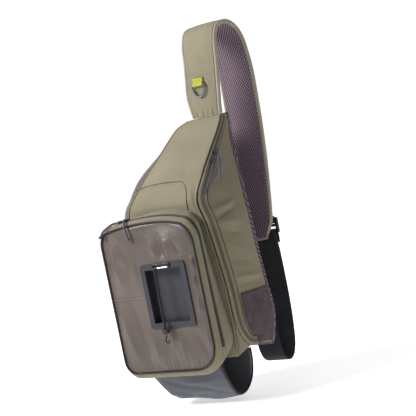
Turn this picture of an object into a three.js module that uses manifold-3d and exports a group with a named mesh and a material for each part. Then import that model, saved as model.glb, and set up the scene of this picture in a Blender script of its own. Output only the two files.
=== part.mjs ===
// Fishing tackle sling bag: a teardrop main compartment worn on the back, a box pocket
// on its outer face with a recessed fly dock, a bottle sleeve under the base, and one wide
// padded strap that runs over the shoulder and comes back as webbing to the lower corner.
// Millimetres. +X is the viewer's right, -Y the outer face, +Z up.
// The sewn sizes are laid out from the base of the main compartment, and the whole bag is
// then moved so that the origin is the underside of the strap's crest, where it hangs.
import * as THREE from 'three';
import { mergeVertices } from 'three/addons/utils/BufferGeometryUtils.js';
import Module from 'manifold-3d';

const wasm = await Module();
wasm.setup();

// Cloth and seams
const WALL = 2;
const PAD_WALL = 8;
const SEAM_GAP = 0.35;
const SIDE_EASE = 1;
const LAY_GAP = 0.85;

// Main compartment
const BODY_HEIGHT = 432;
const FRONT_HALF = 106;
const BACK_HALF = 135;
const BODY_DEPTH = 98;
const FRONT_CROWN = 5;
const CROWN_START = 0.66;
const SIDE_BULGE = 7;
const LEFT_BULGE = 26;
const BASE_ARCH = 13;
const BASE_ARCH_REACH = 60;

// Main zip down the wearer's right side
const ZIP_STRIP_WIDTH = 18;
const ZIP_TAPE = 1.2;
const ZIP_COIL_WIDTH = 4.5;
const ZIP_COIL_HEIGHT = 1.4;
const ZIP_TOP_SPACE = 6;
const ZIP_TURN_HEIGHT = 80;
const ZIP_TURN_DEPTH = 36;
const ZIP_FOOT = 5;
const FLY_PATCH_TOP = 110;
const FLY_PATCH_THICK = 3;
const FLY_PATCH_GAP = 2.4;

// Front pocket
const POCKET_DEPTH = 57;
const POCKET_HALF = 101;
const POCKET_TOP = 271;
const POCKET_CROWN = 4;
const CROWN_SHARE = 0.24;
const RIM_WIDTH = 13;
const RIM_FRONT = 0.985;
const POCKET_ZIP_WIDTH = 9;
const POCKET_ZIP_TURN = 0.14;
const PIPING_RADIUS = 1.5;
const PANEL_INSET = 3.6;
const RING_STEPS = 52;

// Fly dock
const DOCK_WIDTH = 100;
const DOCK_HEIGHT = 116;
const DOCK_X = 23;
const DOCK_Z = 134;
const DOCK_FLANGE = 10;
const DOCK_DEPTH = 16;
const DOCK_CORNER = 5;
const FLANGE_THICK = 2.6;
const TRAY_WALL = 2;

// Tippet holder on the dock
const CLIP_AT = new THREE.Vector3(23, 0, 188);
const CLIP_WIDTH = 40;
const CLIP_HEIGHT = 9;
const CLIP_WIRE = 1.3;
const TIPPET_CORD = 4.6;
const TOGGLE_RADIUS = 7;
const TOGGLE_HEIGHT = 8;
const HOOK_WIRE = 1.4;

// Shoulder strap
const STRAP_HALF = 39;
const STRAP_THICK = 11;
const PAD_EDGE = 0.3;
const BINDING_WIDTH = 5;
const BINDING_THICK = 8.5;
const END_SHARE = 0.0105;
const STRAP_STEPS = 42;

// D-ring and its tab
const TAB_WIDTH = 22;
const TAB_HEIGHT = 13;
const TAB_THICK = 1.3;
const RING_WIRE = 1.6;
const RING_WIDTH = 31;
const RING_DROP = 23;
const RING_CORNER = 2.4;
const RING_AT = new THREE.Vector3(45, 30.3, BODY_HEIGHT + 61);

// Adjuster buckle and webbing
const WEB_HALF = 25;
const WEB_THICK = 1.6;
const BUCKLE_BAR = 5;
const BUCKLE_HEIGHT = 30;
const BUCKLE_AT = new THREE.Vector3(70, 115, BODY_HEIGHT - 228);

// Anchor wing on the lower right corner of the back: its corners from the sewn edge
const WING = [[66, 8], [112, 8], [120, 62], [82, 48]];

// Bottle sleeve
const BOTTLE_RADIUS = 43;
const SLEEVE_DROP = 73;
const SLEEVE_HALF = 49;
const SLEEVE_MIDDLE = -63;
const SLEEVE_SEAM = 0.8;
const MOUTH_X = 74;
const MOUTH_SLANT = 9;
const SLEEVE_LEFT = 110;
const SLEEVE_BINDING = 5;

// Pull cords and their sliders
const PULL_CORD = 4;
const KNOT_RADIUS = 3.4;
const SLIDER = { along: 11, across: 8, tall: 4.2 };
const MAIN_SLIDERS = { upper: 365, lower: 350 };
const POCKET_SLIDERS = { left: 0.556, right: 0.541 };

// The bag hangs on the strap: the origin is the underside of the crest.
const HANG = new THREE.Vector3(60, 76, BODY_HEIGHT + 162.2);

const COLORS = {
  khaki: { color: 0xa39a83, roughness: 0.85, metalness: 0 },
  coated: { color: 0x75685e, roughness: 0.38, metalness: 0 },
  binding: { color: 0x8f897b, roughness: 0.8, metalness: 0 },
  mesh: { color: 0x4a3a4a, roughness: 0.95, metalness: 0 },
  sleeve: { color: 0x474b58, roughness: 0.7, metalness: 0 },
  black: { color: 0x1c1d22, roughness: 0.6, metalness: 0 },
  webbing: { color: 0x23252c, roughness: 0.8, metalness: 0 },
  fleece: { color: 0x4b424c, roughness: 1, metalness: 0 },
  lime: { color: 0xbfc044, roughness: 0.75, metalness: 0 },
  metal: { color: 0x7a8094, roughness: 0.35, metalness: 0.9 },
  dock: { color: 0x3b3c46, roughness: 0.55, metalness: 0 },
};

// Sections of the main compartment from the base to the top. up is a share of BODY_HEIGHT,
// front edges of FRONT_HALF, back edges of BACK_HALF, and the two planes of BODY_DEPTH.
const BODY = [
  { up: 0.0, frontLeft: -0.93, frontRight: 0.93, frontY: -0.94, backLeft: -0.87, backRight: 0.87, backY: 0.0 },
  { up: 0.046, frontLeft: -0.98, frontRight: 0.98, frontY: -0.99, backLeft: -0.93, backRight: 0.93,
    backY: 0.0 },
  { up: 0.164, frontLeft: -1.0, frontRight: 1.0, frontY: -1.0, backLeft: -1.0, backRight: 1.0, backY: 0.0 },
  { up: 0.266, frontLeft: -0.98, frontRight: 0.99, frontY: -1.0, backLeft: -0.97, backRight: 0.97, backY: 0.0 },
  { up: 0.431, frontLeft: -0.9, frontRight: 0.92, frontY: -1.0, backLeft: -0.93, backRight: 0.935, backY: 0.0 },
  { up: 0.574, frontLeft: -0.81, frontRight: 0.83, frontY: -1.0, backLeft: -0.87, backRight: 0.91,
    backY: 0.02 },
  { up: 0.653, frontLeft: -0.745, frontRight: 0.75, frontY: -1.0, backLeft: -0.8, backRight: 0.87,
    backY: 0.08 },
  { up: 0.764, frontLeft: -0.6, frontRight: 0.74, frontY: -0.66, backLeft: -0.63, backRight: 0.79,
    backY: 0.22 },
  { up: 0.845, frontLeft: -0.44, frontRight: 0.75, frontY: -0.33, backLeft: -0.41, backRight: 0.69,
    backY: 0.38 },
  { up: 0.931, frontLeft: -0.3, frontRight: 0.75, frontY: 0.06, backLeft: -0.24, backRight: 0.6, backY: 0.56 },
  { up: 0.972, frontLeft: -0.19, frontRight: 0.75, frontY: 0.22, backLeft: -0.14, backRight: 0.585,
    backY: 0.61 },
  { up: 1.0, frontLeft: 0.08, frontRight: 0.74, frontY: 0.31, backLeft: 0.07, backRight: 0.575, backY: 0.63 },
];

// Outlines of the pocket from its seam on the compartment to its front edge. depth is a share
// of POCKET_DEPTH, sides of POCKET_HALF, heights of POCKET_TOP, and corner radii of POCKET_HALF.
const POCKET = [
  { depth: 0.0, left: -1.0, right: 1.0, topLeft: -0.76, topRight: 0.76, low: 0.015, edge: 0.975, crest: 1.05,
    cornerTop: 0.22, cornerTopLeft: 0.16, cornerLeft: 0.24, cornerRight: 0.42 },
  { depth: 0.78, left: -1.14, right: 1.03, topLeft: -1.12, topRight: 1.01, low: -0.06, edge: 0.95, crest: 1.022,
    cornerTop: 0.34, cornerTopLeft: 0.2, cornerLeft: 0.28, cornerRight: 0.5 },
  { depth: 1.0, left: -1.1, right: 0.98, topLeft: -1.1, topRight: 0.98, low: -0.024, edge: 0.93, crest: 1.0,
    cornerTop: 0.32, cornerTopLeft: 0.18, cornerLeft: 0.26, cornerRight: 0.48 },
];

// Centre line of the strap from the top of the bag over the shoulder and down to the buckle,
// chosen by hand. Each height is measured from BODY_HEIGHT, and wide is a share of STRAP_HALF.
const STRAP = [
  { at: [46, 36, 0.5], wide: 0.83 },
  { at: [45.5, 35.6, 20], wide: 0.9 },
  { at: [46.5, 35.5, 42], wide: 0.97 },
  { at: [50, 36, 70], wide: 0.98 },
  { at: [54, 37, 102], wide: 0.98 },
  { at: [56.5, 39.5, 136], wide: 0.99 },
  { at: [58, 51, 160], wide: 1 },
  { at: [60, 76, 168], wide: 1 },
  { at: [61, 102, 161], wide: 1 },
  { at: [62, 121, 140], wide: 1 },
  { at: [63, 130, 103], wide: 1 },
  { at: [64, 132, 68], wide: 1 },
  { at: [65, 129, 28], wide: 1 },
  { at: [65, 125, -32], wide: 1 },
  { at: [64, 118, -102], wide: 1 },
  { at: [62, 109, -167], wide: 1 },
  { at: [61, 103, -210], wide: 0.97 },
  { at: [60, 98, -252], wide: 0.52 },
];

// Centre line of the webbing, chosen by hand: its turn over the buckle's lower bar, measured
// from BUCKLE_AT, and its run to the lower corner of the back.
const WEBBING_TURN = [
  [0, 5.2, -34], [0, 5.4, -21], [0, 5, -13], [0, 2.6, -8.4], [0, -0.4, -7.4], [0.5, -4, -8.8],
  [1, -5.5, -15], [2, -7, -24],
];
const WEBBING_RUN = [
  [77, 103, 158], [88, 87, 117], [100, 68, 68], [105, 56, 20], [106, 47, -14], [105, 37, -32],
  [104, 24, -37], [103, 11, -27], [102, 5.6, -10], [101, 4.2, 10], [100, 4.1, 36],
];

// Centre line of the ribbon that ties the buckle to the strap, measured from BUCKLE_AT.
const BUCKLE_TAPE = [
  [0, -0.4, 48], [0, -2.2, 34], [0, -4, 22], [0, -3.4, 16.4], [0, -0.2, 17.4], [0, 3.2, 16.6],
  [0, 4.9, 12.5], [0, 4.8, 3],
];

// The sleeve from its sewn end to its mouth: at is a share of SLEEVE_LEFT, drop of SLEEVE_DROP,
// and rise, the height of its front edge under the pocket, of BOTTLE_RADIUS.
const SLEEVE = [
  { at: -1.0, drop: 0.26, rise: 0.19 },
  { at: -0.92, drop: 0.42, rise: 0.07 },
  { at: -0.8, drop: 0.56, rise: -0.08 },
  { at: -0.64, drop: 0.84, rise: -0.18 },
  { at: -0.5, drop: 0.99, rise: -0.21 },
  { at: 0.3, drop: 1.0, rise: -0.21 },
  { at: 0.5, drop: 1.0, rise: -0.17 },
  { at: 0.76, drop: 1.0, rise: 0.03 },
];

// Routes of the pull cords and of the tippet cord, from where each leaves its slider or clip,
// chosen by hand.
const CORDS = {
  main_pull_upper: [[90, -20.4, 361.9], [94, -24.4, 354.9], [98, -31.4, 345.9], [102, -39.4, 335.9],
    [105, -46.4, 325.9], [106, -50.4, 316.9]],
  main_pull_lower: [[91.4, -39.7, 345.3], [92.4, -46.7, 338.3], [93.4, -56.7, 327.3], [93.4, -66.7,
    316.3], [93.4, -76.7, 306.3], [92.4, -83.7, 298.3]],
  pocket_pull_left: [[-76.8, -140.5, 273.2], [-82.8, -145.5, 272.2], [-89.8, -151.5, 268.2], [-96.8,
    -158.5, 262.2], [-101.8, -162.5, 253.2]],
  pocket_pull_right: [[-57, -141, 275.5], [-52, -148, 276], [-47, -155, 273.5], [-43, -161, 265],
    [-39.5, -164, 253],
    [-37, -164, 242]],
  tippet_cord: [[8, -164.9, 182.6], [8.4, -165, 175], [8.6, -165.4, 160], [8.2, -166, 140], [8, -167, 120],
    [8.5, -168, 100], [9.5, -169, 86], [10, -169.6, 77]],
};

const root = new THREE.Group();

// A table read at any share between its rows, with slopes that never overshoot a row.
function sample(table, key, value, column) {
  const count = table.length;
  let row = 0;
  while (row < count - 2 && value > table[row + 1][key]) {
    row += 1;
  }
  const slopeOf = (index) => (table[index + 1][column] - table[index][column])
    / (table[index + 1][key] - table[index][key]);
  const tangent = (index) => {
    if (index === 0) return slopeOf(0);
    if (index === count - 1) return slopeOf(count - 2);
    const before = slopeOf(index - 1);
    const after = slopeOf(index);
    return before * after <= 0 ? 0 : 2 * before * after / (before + after);
  };
  const span = table[row + 1][key] - table[row][key];
  const share = THREE.MathUtils.clamp((value - table[row][key]) / span, 0, 1);
  const square = share * share;
  const cube = square * share;
  return table[row][column] * (2 * cube - 3 * square + 1)
    + tangent(row) * span * (cube - 2 * square + share)
    + table[row + 1][column] * (3 * square - 2 * cube)
    + tangent(row + 1) * span * (cube - square);
}

const vector = (x, y, z) => new THREE.Vector3(x, y, z);
const lerp = THREE.MathUtils.lerp;

// A closed geometry carried through a function of its points, turned right side out.
function bend(geometry, place) {
  const bare = geometry.clone();
  bare.deleteAttribute('normal');
  bare.deleteAttribute('uv');
  const merged = mergeVertices(bare, 1e-6);
  const points = merged.getAttribute('position');
  for (let index = 0; index < points.count; index += 1) {
    const point = place(points.getX(index), points.getY(index), points.getZ(index));
    points.setXYZ(index, point.x, point.y, point.z);
  }
  return faceOut(merged);
}

function faceOut(geometry) {
  const points = geometry.getAttribute('position');
  const order = geometry.getIndex();
  const [a, b, c] = [vector(0, 0, 0), vector(0, 0, 0), vector(0, 0, 0)];
  let volume = 0;
  for (let index = 0; index < order.count; index += 3) {
    a.fromBufferAttribute(points, order.getX(index));
    b.fromBufferAttribute(points, order.getX(index + 1));
    c.fromBufferAttribute(points, order.getX(index + 2));
    volume += a.dot(b.clone().cross(c));
  }
  if (volume < 0) {
    for (let index = 0; index < order.count; index += 3) {
      const second = order.getX(index + 1);
      order.setX(index + 1, order.getX(index + 2));
      order.setX(index + 2, second);
    }
  }
  geometry.computeVertexNormals();
  return geometry;
}

// Outward normal of a surface of two shares, by small steps, turned to the side of outward.
function normalOf(surface, u, v, outward) {
  const step = 0.004;
  const alongU = surface(Math.min(u + step, 1), v).sub(surface(Math.max(u - step, 0), v));
  const alongV = surface(u, Math.min(v + step, 1)).sub(surface(u, Math.max(v - step, 0)));
  const normal = alongU.cross(alongV).normalize();
  return normal.dot(outward) < 0 ? normal.negate() : normal;
}

// A cloth panel: a thin slab whose outer face is surface(u, v), lifted from it by lift.
function panel(surface, across, along, wall, outward, lift = 0) {
  const slab = new THREE.BoxGeometry(1, 1, 1, across, along, 1);
  return bend(slab, (x, y, z) => {
    const u = x + 0.5;
    const v = y + 0.5;
    const level = lift - wall * (0.5 - z);
    return surface(u, v).addScaledVector(normalOf(surface, u, v, outward), level);
  });
}

function add(name, geometry, finish) {
  const mesh = new THREE.Mesh(geometry, new THREE.MeshStandardMaterial(COLORS[finish]));
  mesh.name = name;
  root.add(mesh);
  return mesh;
}

function toSolid(geometry) {
  const bare = geometry.clone();
  bare.deleteAttribute('normal');
  bare.deleteAttribute('uv');
  const merged = mergeVertices(bare, 1e-5);
  return new wasm.Manifold(new wasm.Mesh({
    numProp: 3,
    vertProperties: new Float32Array(merged.getAttribute('position').array),
    triVerts: new Uint32Array(merged.getIndex().array),
  }));
}

function toGeometry(solid) {
  const mesh = solid.getMesh();
  const geometry = new THREE.BufferGeometry();
  geometry.setAttribute('position', new THREE.BufferAttribute(new Float32Array(mesh.vertProperties), 3));
  geometry.setIndex(new THREE.BufferAttribute(new Uint32Array(mesh.triVerts), 1));
  geometry.computeVertexNormals();
  return geometry;
}

// Main compartment
function bodyAt(up) {
  return {
    frontLeft: vector(FRONT_HALF * sample(BODY, 'up', up, 'frontLeft'),
      BODY_DEPTH * sample(BODY, 'up', up, 'frontY'), BODY_HEIGHT * up),
    frontRight: vector(FRONT_HALF * sample(BODY, 'up', up, 'frontRight'),
      BODY_DEPTH * sample(BODY, 'up', up, 'frontY'), BODY_HEIGHT * up),
    backLeft: vector(BACK_HALF * sample(BODY, 'up', up, 'backLeft'),
      BODY_DEPTH * sample(BODY, 'up', up, 'backY'), BODY_HEIGHT * up),
    backRight: vector(BACK_HALF * sample(BODY, 'up', up, 'backRight'),
      BODY_DEPTH * sample(BODY, 'up', up, 'backY'), BODY_HEIGHT * up),
  };
}

function frontFace(u, up) {
  const { frontLeft, frontRight } = bodyAt(up);
  const swell = FRONT_CROWN * 4 * u * (1 - u)
    * THREE.MathUtils.smoothstep(up, CROWN_START, 0.8) * (1 - THREE.MathUtils.smoothstep(up, 0.85, 1));
  return frontLeft.lerp(frontRight, u).add(vector(0, -swell, 0));
}

function backFace(u, up) {
  const { backLeft, backRight } = bodyAt(up);
  return backLeft.lerp(backRight, u);
}

// Side walls run from the front edge to the back edge and swell between them, and their
// lower edge arches over the sleeve. free is the share of the swell that a point has passed.
function sideFace(front, back, swell, s, up, free) {
  const across = back.clone().sub(front);
  const outward = vector(Math.sign(swell) * Math.abs(across.y), -Math.sign(swell) * across.x, 0).normalize();
  const full = Math.sin(Math.PI * s);
  const round = swell < 0 ? Math.sin(Math.PI * free) ** 0.6 : full;
  const lean = 1 - THREE.MathUtils.smoothstep(up, swell < 0 ? 0.8 : 0.55, 1);
  const arch = BASE_ARCH * full * (1 - THREE.MathUtils.smoothstep(up * BODY_HEIGHT, 0, BASE_ARCH_REACH));
  return front.clone().lerp(back, s)
    .addScaledVector(outward,
      Math.abs(swell) * round * lean * (0.35 + 0.65 * THREE.MathUtils.smoothstep(up, 0, 0.3)))
    .add(vector(0, 0, arch));
}

function rightFace(s, up) {
  const { frontRight, backRight } = bodyAt(up);
  return sideFace(frontRight, backRight, SIDE_BULGE, s, up, s);
}

// The left wall swells between its two seams, and lies flush with the front and back panels there.
function leftFace(s, up) {
  const { frontLeft, backLeft } = bodyAt(up);
  const range = sideRange(up);
  const free = THREE.MathUtils.clamp((s - range.start) / (range.end - range.start), 0, 1);
  return sideFace(frontLeft, backLeft, -LEFT_BULGE, s, up, free);
}

// Share of a side wall taken by the front and back panels that it is sewn between.
function sideRange(up) {
  const { frontRight, backRight } = bodyAt(up);
  const step = 0.01;
  const above = bodyAt(Math.min(up + step, 1));
  const below = bodyAt(Math.max(up - step, 0));
  const rise = BODY_HEIGHT * (Math.min(up + step, 1) - Math.max(up - step, 0));
  const frontSlope = (above.frontRight.y - below.frontRight.y) / rise;
  const backSlope = (above.backRight.y - below.backRight.y) / rise;
  const depth = backRight.y - frontRight.y;
  return {
    start: (WALL * Math.hypot(1, frontSlope) + SEAM_GAP) / depth,
    end: 1 - (PAD_WALL * Math.hypot(1, backSlope) + SIDE_EASE) / depth,
  };
}

function between(face) {
  return (u, v) => {
    const range = sideRange(v);
    return face(lerp(range.start, range.end, u), v);
  };
}

add('main_front_panel', panel(frontFace, 8, 16, WALL, vector(0, -1, 0.4)), 'khaki');
add('back_panel', panel(backFace, 6, 12, PAD_WALL, vector(0, 1, 0)), 'mesh');
add('side_panel_right', panel(between(rightFace), 6, 16, WALL, vector(1, 0, 0)), 'khaki');
add('side_panel_left', panel(between(leftFace), 6, 16, WALL, vector(-1, 0, 0)), 'coated');

// The base spans between the four walls and arches with the lower edges of the sides.
function baseFace(u, v) {
  const range = sideRange(0);
  const s = lerp(range.start + 0.004, range.end - 0.004, v);
  const inset = WALL + SEAM_GAP + 0.6;
  const left = leftFace(s, 0).add(vector(inset, 0, 0));
  const right = rightFace(s, 0).add(vector(-inset, 0, 0));
  return left.lerp(right, u);
}
add('base_panel', panel(baseFace, 8, 8, WALL, vector(0, 0, -1)), 'khaki');

// The yoke closes the top between the front and back panels, under the foot of the strap.
function yokeFace(u, v) {
  const { frontLeft, frontRight, backLeft } = bodyAt(1);
  const front = frontLeft.y + WALL * 1.9 + SEAM_GAP;
  const back = backLeft.y - PAD_WALL * 1.3 - SEAM_GAP;
  const inset = WALL + 1.4;
  return vector(lerp(frontLeft.x + inset, frontRight.x - inset, u), lerp(front, back, v), BODY_HEIGHT - 0.4);
}
add('top_yoke', panel(yokeFace, 4, 2, WALL, vector(0, 0, 1)), 'khaki');

// The main zip runs from the top of the side down behind the front edge, and turns back along
// the base. Its strip lies on the side wall: tape on both sides, and a coil on its middle.
function zipCentre(v) {
  const top = BODY_HEIGHT - ZIP_TOP_SPACE;
  const straight = top - ZIP_TURN_HEIGHT;
  const turn = Math.PI / 2;
  const turnLength = Math.hypot(ZIP_TURN_HEIGHT - ZIP_FOOT, ZIP_TURN_DEPTH) * 1.12;
  const along = v * (straight + turnLength);
  const near = WALL + SEAM_GAP + ZIP_STRIP_WIDTH / 2;
  if (along < straight) {
    return { z: top - along, back: near, tilt: 0 };
  }
  const angle = Math.min((along - straight) / turnLength, 1) * turn;
  return {
    z: ZIP_TURN_HEIGHT - (ZIP_TURN_HEIGHT - ZIP_FOOT - ZIP_STRIP_WIDTH / 2) * Math.sin(angle),
    back: near + ZIP_TURN_DEPTH * (1 - Math.cos(angle)),
    tilt: angle,
  };
}

function onRightSide(back, z) {
  const up = z / BODY_HEIGHT;
  const { frontRight, backRight } = bodyAt(up);
  const s = back / Math.hypot(backRight.x - frontRight.x, backRight.y - frontRight.y);
  const point = rightFace(s, up);
  point.z = z + (point.z - z) * 0.5;
  return point;
}

function zipFace(half) {
  return (u, v) => {
    const centre = zipCentre(v);
    const offset = (u - 0.5) * 2 * half;
    return onRightSide(centre.back + offset * Math.cos(centre.tilt), centre.z + offset * Math.sin(centre.tilt));
  };
}
const ZIP_LIFT = LAY_GAP + ZIP_TAPE;
const COIL_LIFT = ZIP_LIFT + SEAM_GAP + ZIP_COIL_HEIGHT;
const OUTWARD_RIGHT = vector(1, 0, 0);
add('main_zip_strip', panel(zipFace(ZIP_STRIP_WIDTH / 2), 2, 26, ZIP_TAPE, OUTWARD_RIGHT, ZIP_LIFT), 'khaki');
add('main_zip_coil', panel(zipFace(ZIP_COIL_WIDTH / 2), 1, 26, ZIP_COIL_HEIGHT, OUTWARD_RIGHT,
  COIL_LIFT), 'black');

// The fleece patch covers the lower back of the right side, behind the zip strip.
function patchFace(u, v) {
  const steps = 40;
  const z = lerp(ZIP_FOOT + 2, FLY_PATCH_TOP, v);
  let near = ZIP_STRIP_WIDTH + WALL + SEAM_GAP;
  for (let index = 0; index <= steps; index += 1) {
    const centre = zipCentre(index / steps);
    const half = ZIP_STRIP_WIDTH / 2 + FLY_PATCH_GAP;
    const edge = { back: centre.back + half * Math.cos(centre.tilt),
      z: centre.z + half * Math.sin(centre.tilt) };
    if (edge.z >= z) near = edge.back + FLY_PATCH_GAP;
  }
  const { frontRight, backRight } = bodyAt(z / BODY_HEIGHT);
  const far = Math.hypot(backRight.x - frontRight.x, backRight.y - frontRight.y) - PAD_WALL - SIDE_EASE;
  return onRightSide(lerp(near, far, u), z);
}
add('fly_patch', panel(patchFace, 5, 7, FLY_PATCH_THICK, OUTWARD_RIGHT, LAY_GAP + FLY_PATCH_THICK), 'fleece');

// Front pocket
const pocketCache = new Map();

// Spaced points of the pocket's outline at a depth, from the middle of its lower edge round
// to the right, as seen from the front.
function pocketOutline(depth) {
  const key = depth.toFixed(4);
  if (!pocketCache.has(key)) {
    const share = (column) => sample(POCKET, 'depth', depth, column);
    const [left, right] = [share('left') * POCKET_HALF, share('right') * POCKET_HALF];
    const [topLeft, topRight] = [share('topLeft') * POCKET_HALF, share('topRight') * POCKET_HALF];
    const [low, edge, crest] = [share('low') * POCKET_TOP, share('edge') * POCKET_TOP,
      share('crest') * POCKET_TOP];
    const [top, topSmall] = [share('cornerTop') * POCKET_HALF, share('cornerTopLeft') * POCKET_HALF];
    const [cornerLeft, cornerRight] = [share('cornerLeft') * POCKET_HALF, share('cornerRight') * POCKET_HALF];
    const shoulder = edge + (crest - edge) * 0.45;
    const path = new THREE.Path();
    path.moveTo(0, low);
    path.lineTo(right - cornerRight, low);
    path.bezierCurveTo(right - cornerRight * 0.42, low, right, low + cornerRight * 0.42, right,
      low + cornerRight);
    path.lineTo(topRight, edge - top);
    path.bezierCurveTo(topRight, edge - top * 0.42, topRight - top * 0.42, shoulder, topRight - top, shoulder);
    path.bezierCurveTo(topRight * 0.4, crest, topLeft * 0.4, crest, topLeft + topSmall, shoulder);
    path.bezierCurveTo(topLeft + topSmall * 0.42, shoulder, topLeft, edge - topSmall * 0.42, topLeft,
      edge - topSmall);
    path.lineTo(left, low + cornerLeft);
    path.bezierCurveTo(left, low + cornerLeft * 0.42, left + cornerLeft * 0.42, low, left + cornerLeft, low);
    path.closePath();
    pocketCache.set(key, path.getSpacedPoints(RING_STEPS * 4));
  }
  return pocketCache.get(key);
}

// A point on the pocket's wall, share u round the outline, moved in by level.
function pocketWall(u, depth, level) {
  const points = pocketOutline(depth);
  const count = points.length - 1;
  const place = ((u % 1) + 1) % 1 * count;
  const index = Math.floor(place) % count;
  const here = points[index].clone().lerp(points[index + 1], place - Math.floor(place));
  const before = points[(index + count - 2) % count];
  const after = points[(index + 3) % count];
  const tangent = after.clone().sub(before).normalize();
  return vector(here.x - tangent.y * level, -BODY_DEPTH - POCKET_DEPTH * depth, here.y + tangent.x * level);
}

// A closed ring: a torus whose round section is carried to the corners of the band's own.
function ring(steps, section, place) {
  const torus = new THREE.TorusGeometry(2, 1, section.length, steps);
  return bend(torus, (x, y, z) => {
    const turn = Math.atan2(y, x) / (2 * Math.PI);
    const around = Math.atan2(z, Math.hypot(x, y) - 2) / (2 * Math.PI);
    const corner = Math.round((around + 1) * section.length) % section.length;
    const step = Math.round((turn + 1) * steps) % steps;
    return place(step / steps, section[corner]);
  });
}

function pocketRing(from, to, rows) {
  const section = [];
  for (let row = 0; row <= rows; row += 1) {
    section.push({ depth: lerp(from, to, row / rows), level: 0 });
  }
  for (let row = rows; row >= 0; row -= 1) {
    section.push({ depth: lerp(from, to, row / rows), level: WALL });
  }
  return ring(RING_STEPS, section, (u, corner) => pocketWall(u, corner.depth, corner.level));
}

function pocketStrip(from, to, startTurn, endTurn, steps) {
  const slab = new THREE.BoxGeometry(1, 1, 1, steps, 1, 1);
  return bend(slab, (x, y, z) => pocketWall(
    lerp(startTurn, endTurn, x + 0.5), lerp(from, to, y + 0.5), WALL * (0.5 - z)));
}

const seamShare = SEAM_GAP / POCKET_DEPTH;
const rimBack = RIM_FRONT - RIM_WIDTH / POCKET_DEPTH;
const zipBack = rimBack - seamShare - POCKET_ZIP_WIDTH / POCKET_DEPTH;
add('pocket_rim', pocketRing(rimBack, RIM_FRONT, 1), 'khaki');
add('pocket_boxing', pocketRing(seamShare, zipBack - seamShare, 2), 'khaki');
add('pocket_zip', pocketStrip(zipBack, rimBack - seamShare, POCKET_ZIP_TURN, 1 - POCKET_ZIP_TURN, 40), 'black');
add('pocket_bottom_band', pocketStrip(zipBack, rimBack - seamShare, POCKET_ZIP_TURN - 0.002,
  0.002 - POCKET_ZIP_TURN, 12), 'khaki');

// Piping round the front edge, between the rim and the panel.
const pipingSection = [0, 1, 2, 3, 4].map((index) => ({ angle: index * Math.PI * 2 / 5 }));
add('pocket_piping', ring(RING_STEPS, pipingSection, (u, corner) => pocketWall(u, 1, PIPING_RADIUS + 0.2)
  .add(pocketWall(u, 1, PIPING_RADIUS * Math.cos(corner.angle)).sub(pocketWall(u, 1, 0)))
  .add(vector(0, -PIPING_RADIUS - 0.2 + PIPING_RADIUS * Math.sin(corner.angle), 0))), 'black');

// The front panel is crowned at its edge and flat in its middle, where the dock is set.
const PANEL_Y = -BODY_DEPTH - POCKET_DEPTH;
const PANEL_FRONT = PANEL_Y - POCKET_CROWN;
function pocketPanel() {
  const middle = vector(0, 0, POCKET_TOP * 0.49);
  const slab = new THREE.BoxGeometry(1, 1, 1, 12, 14, 1);
  return bend(slab, (x, y, z) => {
    const reach = 2 * Math.max(Math.abs(x), Math.abs(y));
    const [right, up] = reach === 0 ? [0, 0] : [2 * x / reach, 2 * y / reach];
    let turn = 0;
    if (up <= -0.9999) turn = right / 8;
    else if (right >= 0.9999) turn = 0.25 + up / 8;
    else if (up >= 0.9999) turn = 0.5 - right / 8;
    else turn = 0.75 - up / 8;
    const edge = pocketWall(turn, 1, PANEL_INSET);
    const rise = THREE.MathUtils.smoothstep((1 - reach) / CROWN_SHARE, 0, 1);
    const point = middle.clone().lerp(edge, reach);
    point.y = PANEL_Y - POCKET_CROWN * rise + WALL * (0.5 - z);
    return point;
  });
}

function block(width, depth, height, x, y, z) {
  const box = new THREE.BoxGeometry(width, depth, height);
  box.translate(x, y, z);
  return toSolid(box);
}

// A flat plate in the XZ plane with round corners, from front to back along Y.
function plate(width, height, corner, front, back, x, z, holes = []) {
  const shape = new THREE.Shape();
  const [right, up] = [width / 2, height / 2];
  shape.moveTo(-right + corner, -up);
  shape.lineTo(right - corner, -up);
  shape.absarc(right - corner, -up + corner, corner, -Math.PI / 2, 0);
  shape.absarc(right - corner, up - corner, corner, 0, Math.PI / 2);
  shape.absarc(-right + corner, up - corner, corner, Math.PI / 2, Math.PI);
  shape.absarc(-right + corner, -up + corner, corner, Math.PI, Math.PI * 1.5);
  holes.forEach((hole) => {
    const path = new THREE.Path();
    path.moveTo(hole.x - hole.width / 2, hole.z - hole.height / 2);
    path.lineTo(hole.x - hole.width / 2, hole.z + hole.height / 2);
    path.lineTo(hole.x + hole.width / 2, hole.z + hole.height / 2);
    path.lineTo(hole.x + hole.width / 2, hole.z - hole.height / 2);
    path.closePath();
    shape.holes.push(path);
  });
  const solid = new THREE.ExtrudeGeometry(shape, { depth: back - front, bevelEnabled: false,
    curveSegments: 4 });
  solid.rotateX(Math.PI / 2);
  solid.translate(x, back, z);
  return solid;
}

// The dock is a moulded tray: a flange that lies on the panel round a flat recess.
const FLANGE_BACK = PANEL_FRONT - SEAM_GAP;
const FLANGE_FRONT = FLANGE_BACK - FLANGE_THICK;
const RECESS_WIDTH = DOCK_WIDTH - 2 * DOCK_FLANGE;
const RECESS_HEIGHT = DOCK_HEIGHT - 2 * DOCK_FLANGE;
const RECESS_FLOOR = FLANGE_FRONT + DOCK_DEPTH;
const trayOut = block(RECESS_WIDTH + 2 * TRAY_WALL, RECESS_FLOOR + TRAY_WALL - FLANGE_FRONT - 1,
  RECESS_HEIGHT + 2 * TRAY_WALL, DOCK_X, (FLANGE_FRONT + 1 + RECESS_FLOOR + TRAY_WALL) / 2, DOCK_Z);
const trayIn = block(RECESS_WIDTH, DOCK_DEPTH + 2, RECESS_HEIGHT, DOCK_X,
  RECESS_FLOOR - (DOCK_DEPTH + 2) / 2, DOCK_Z);
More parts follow.
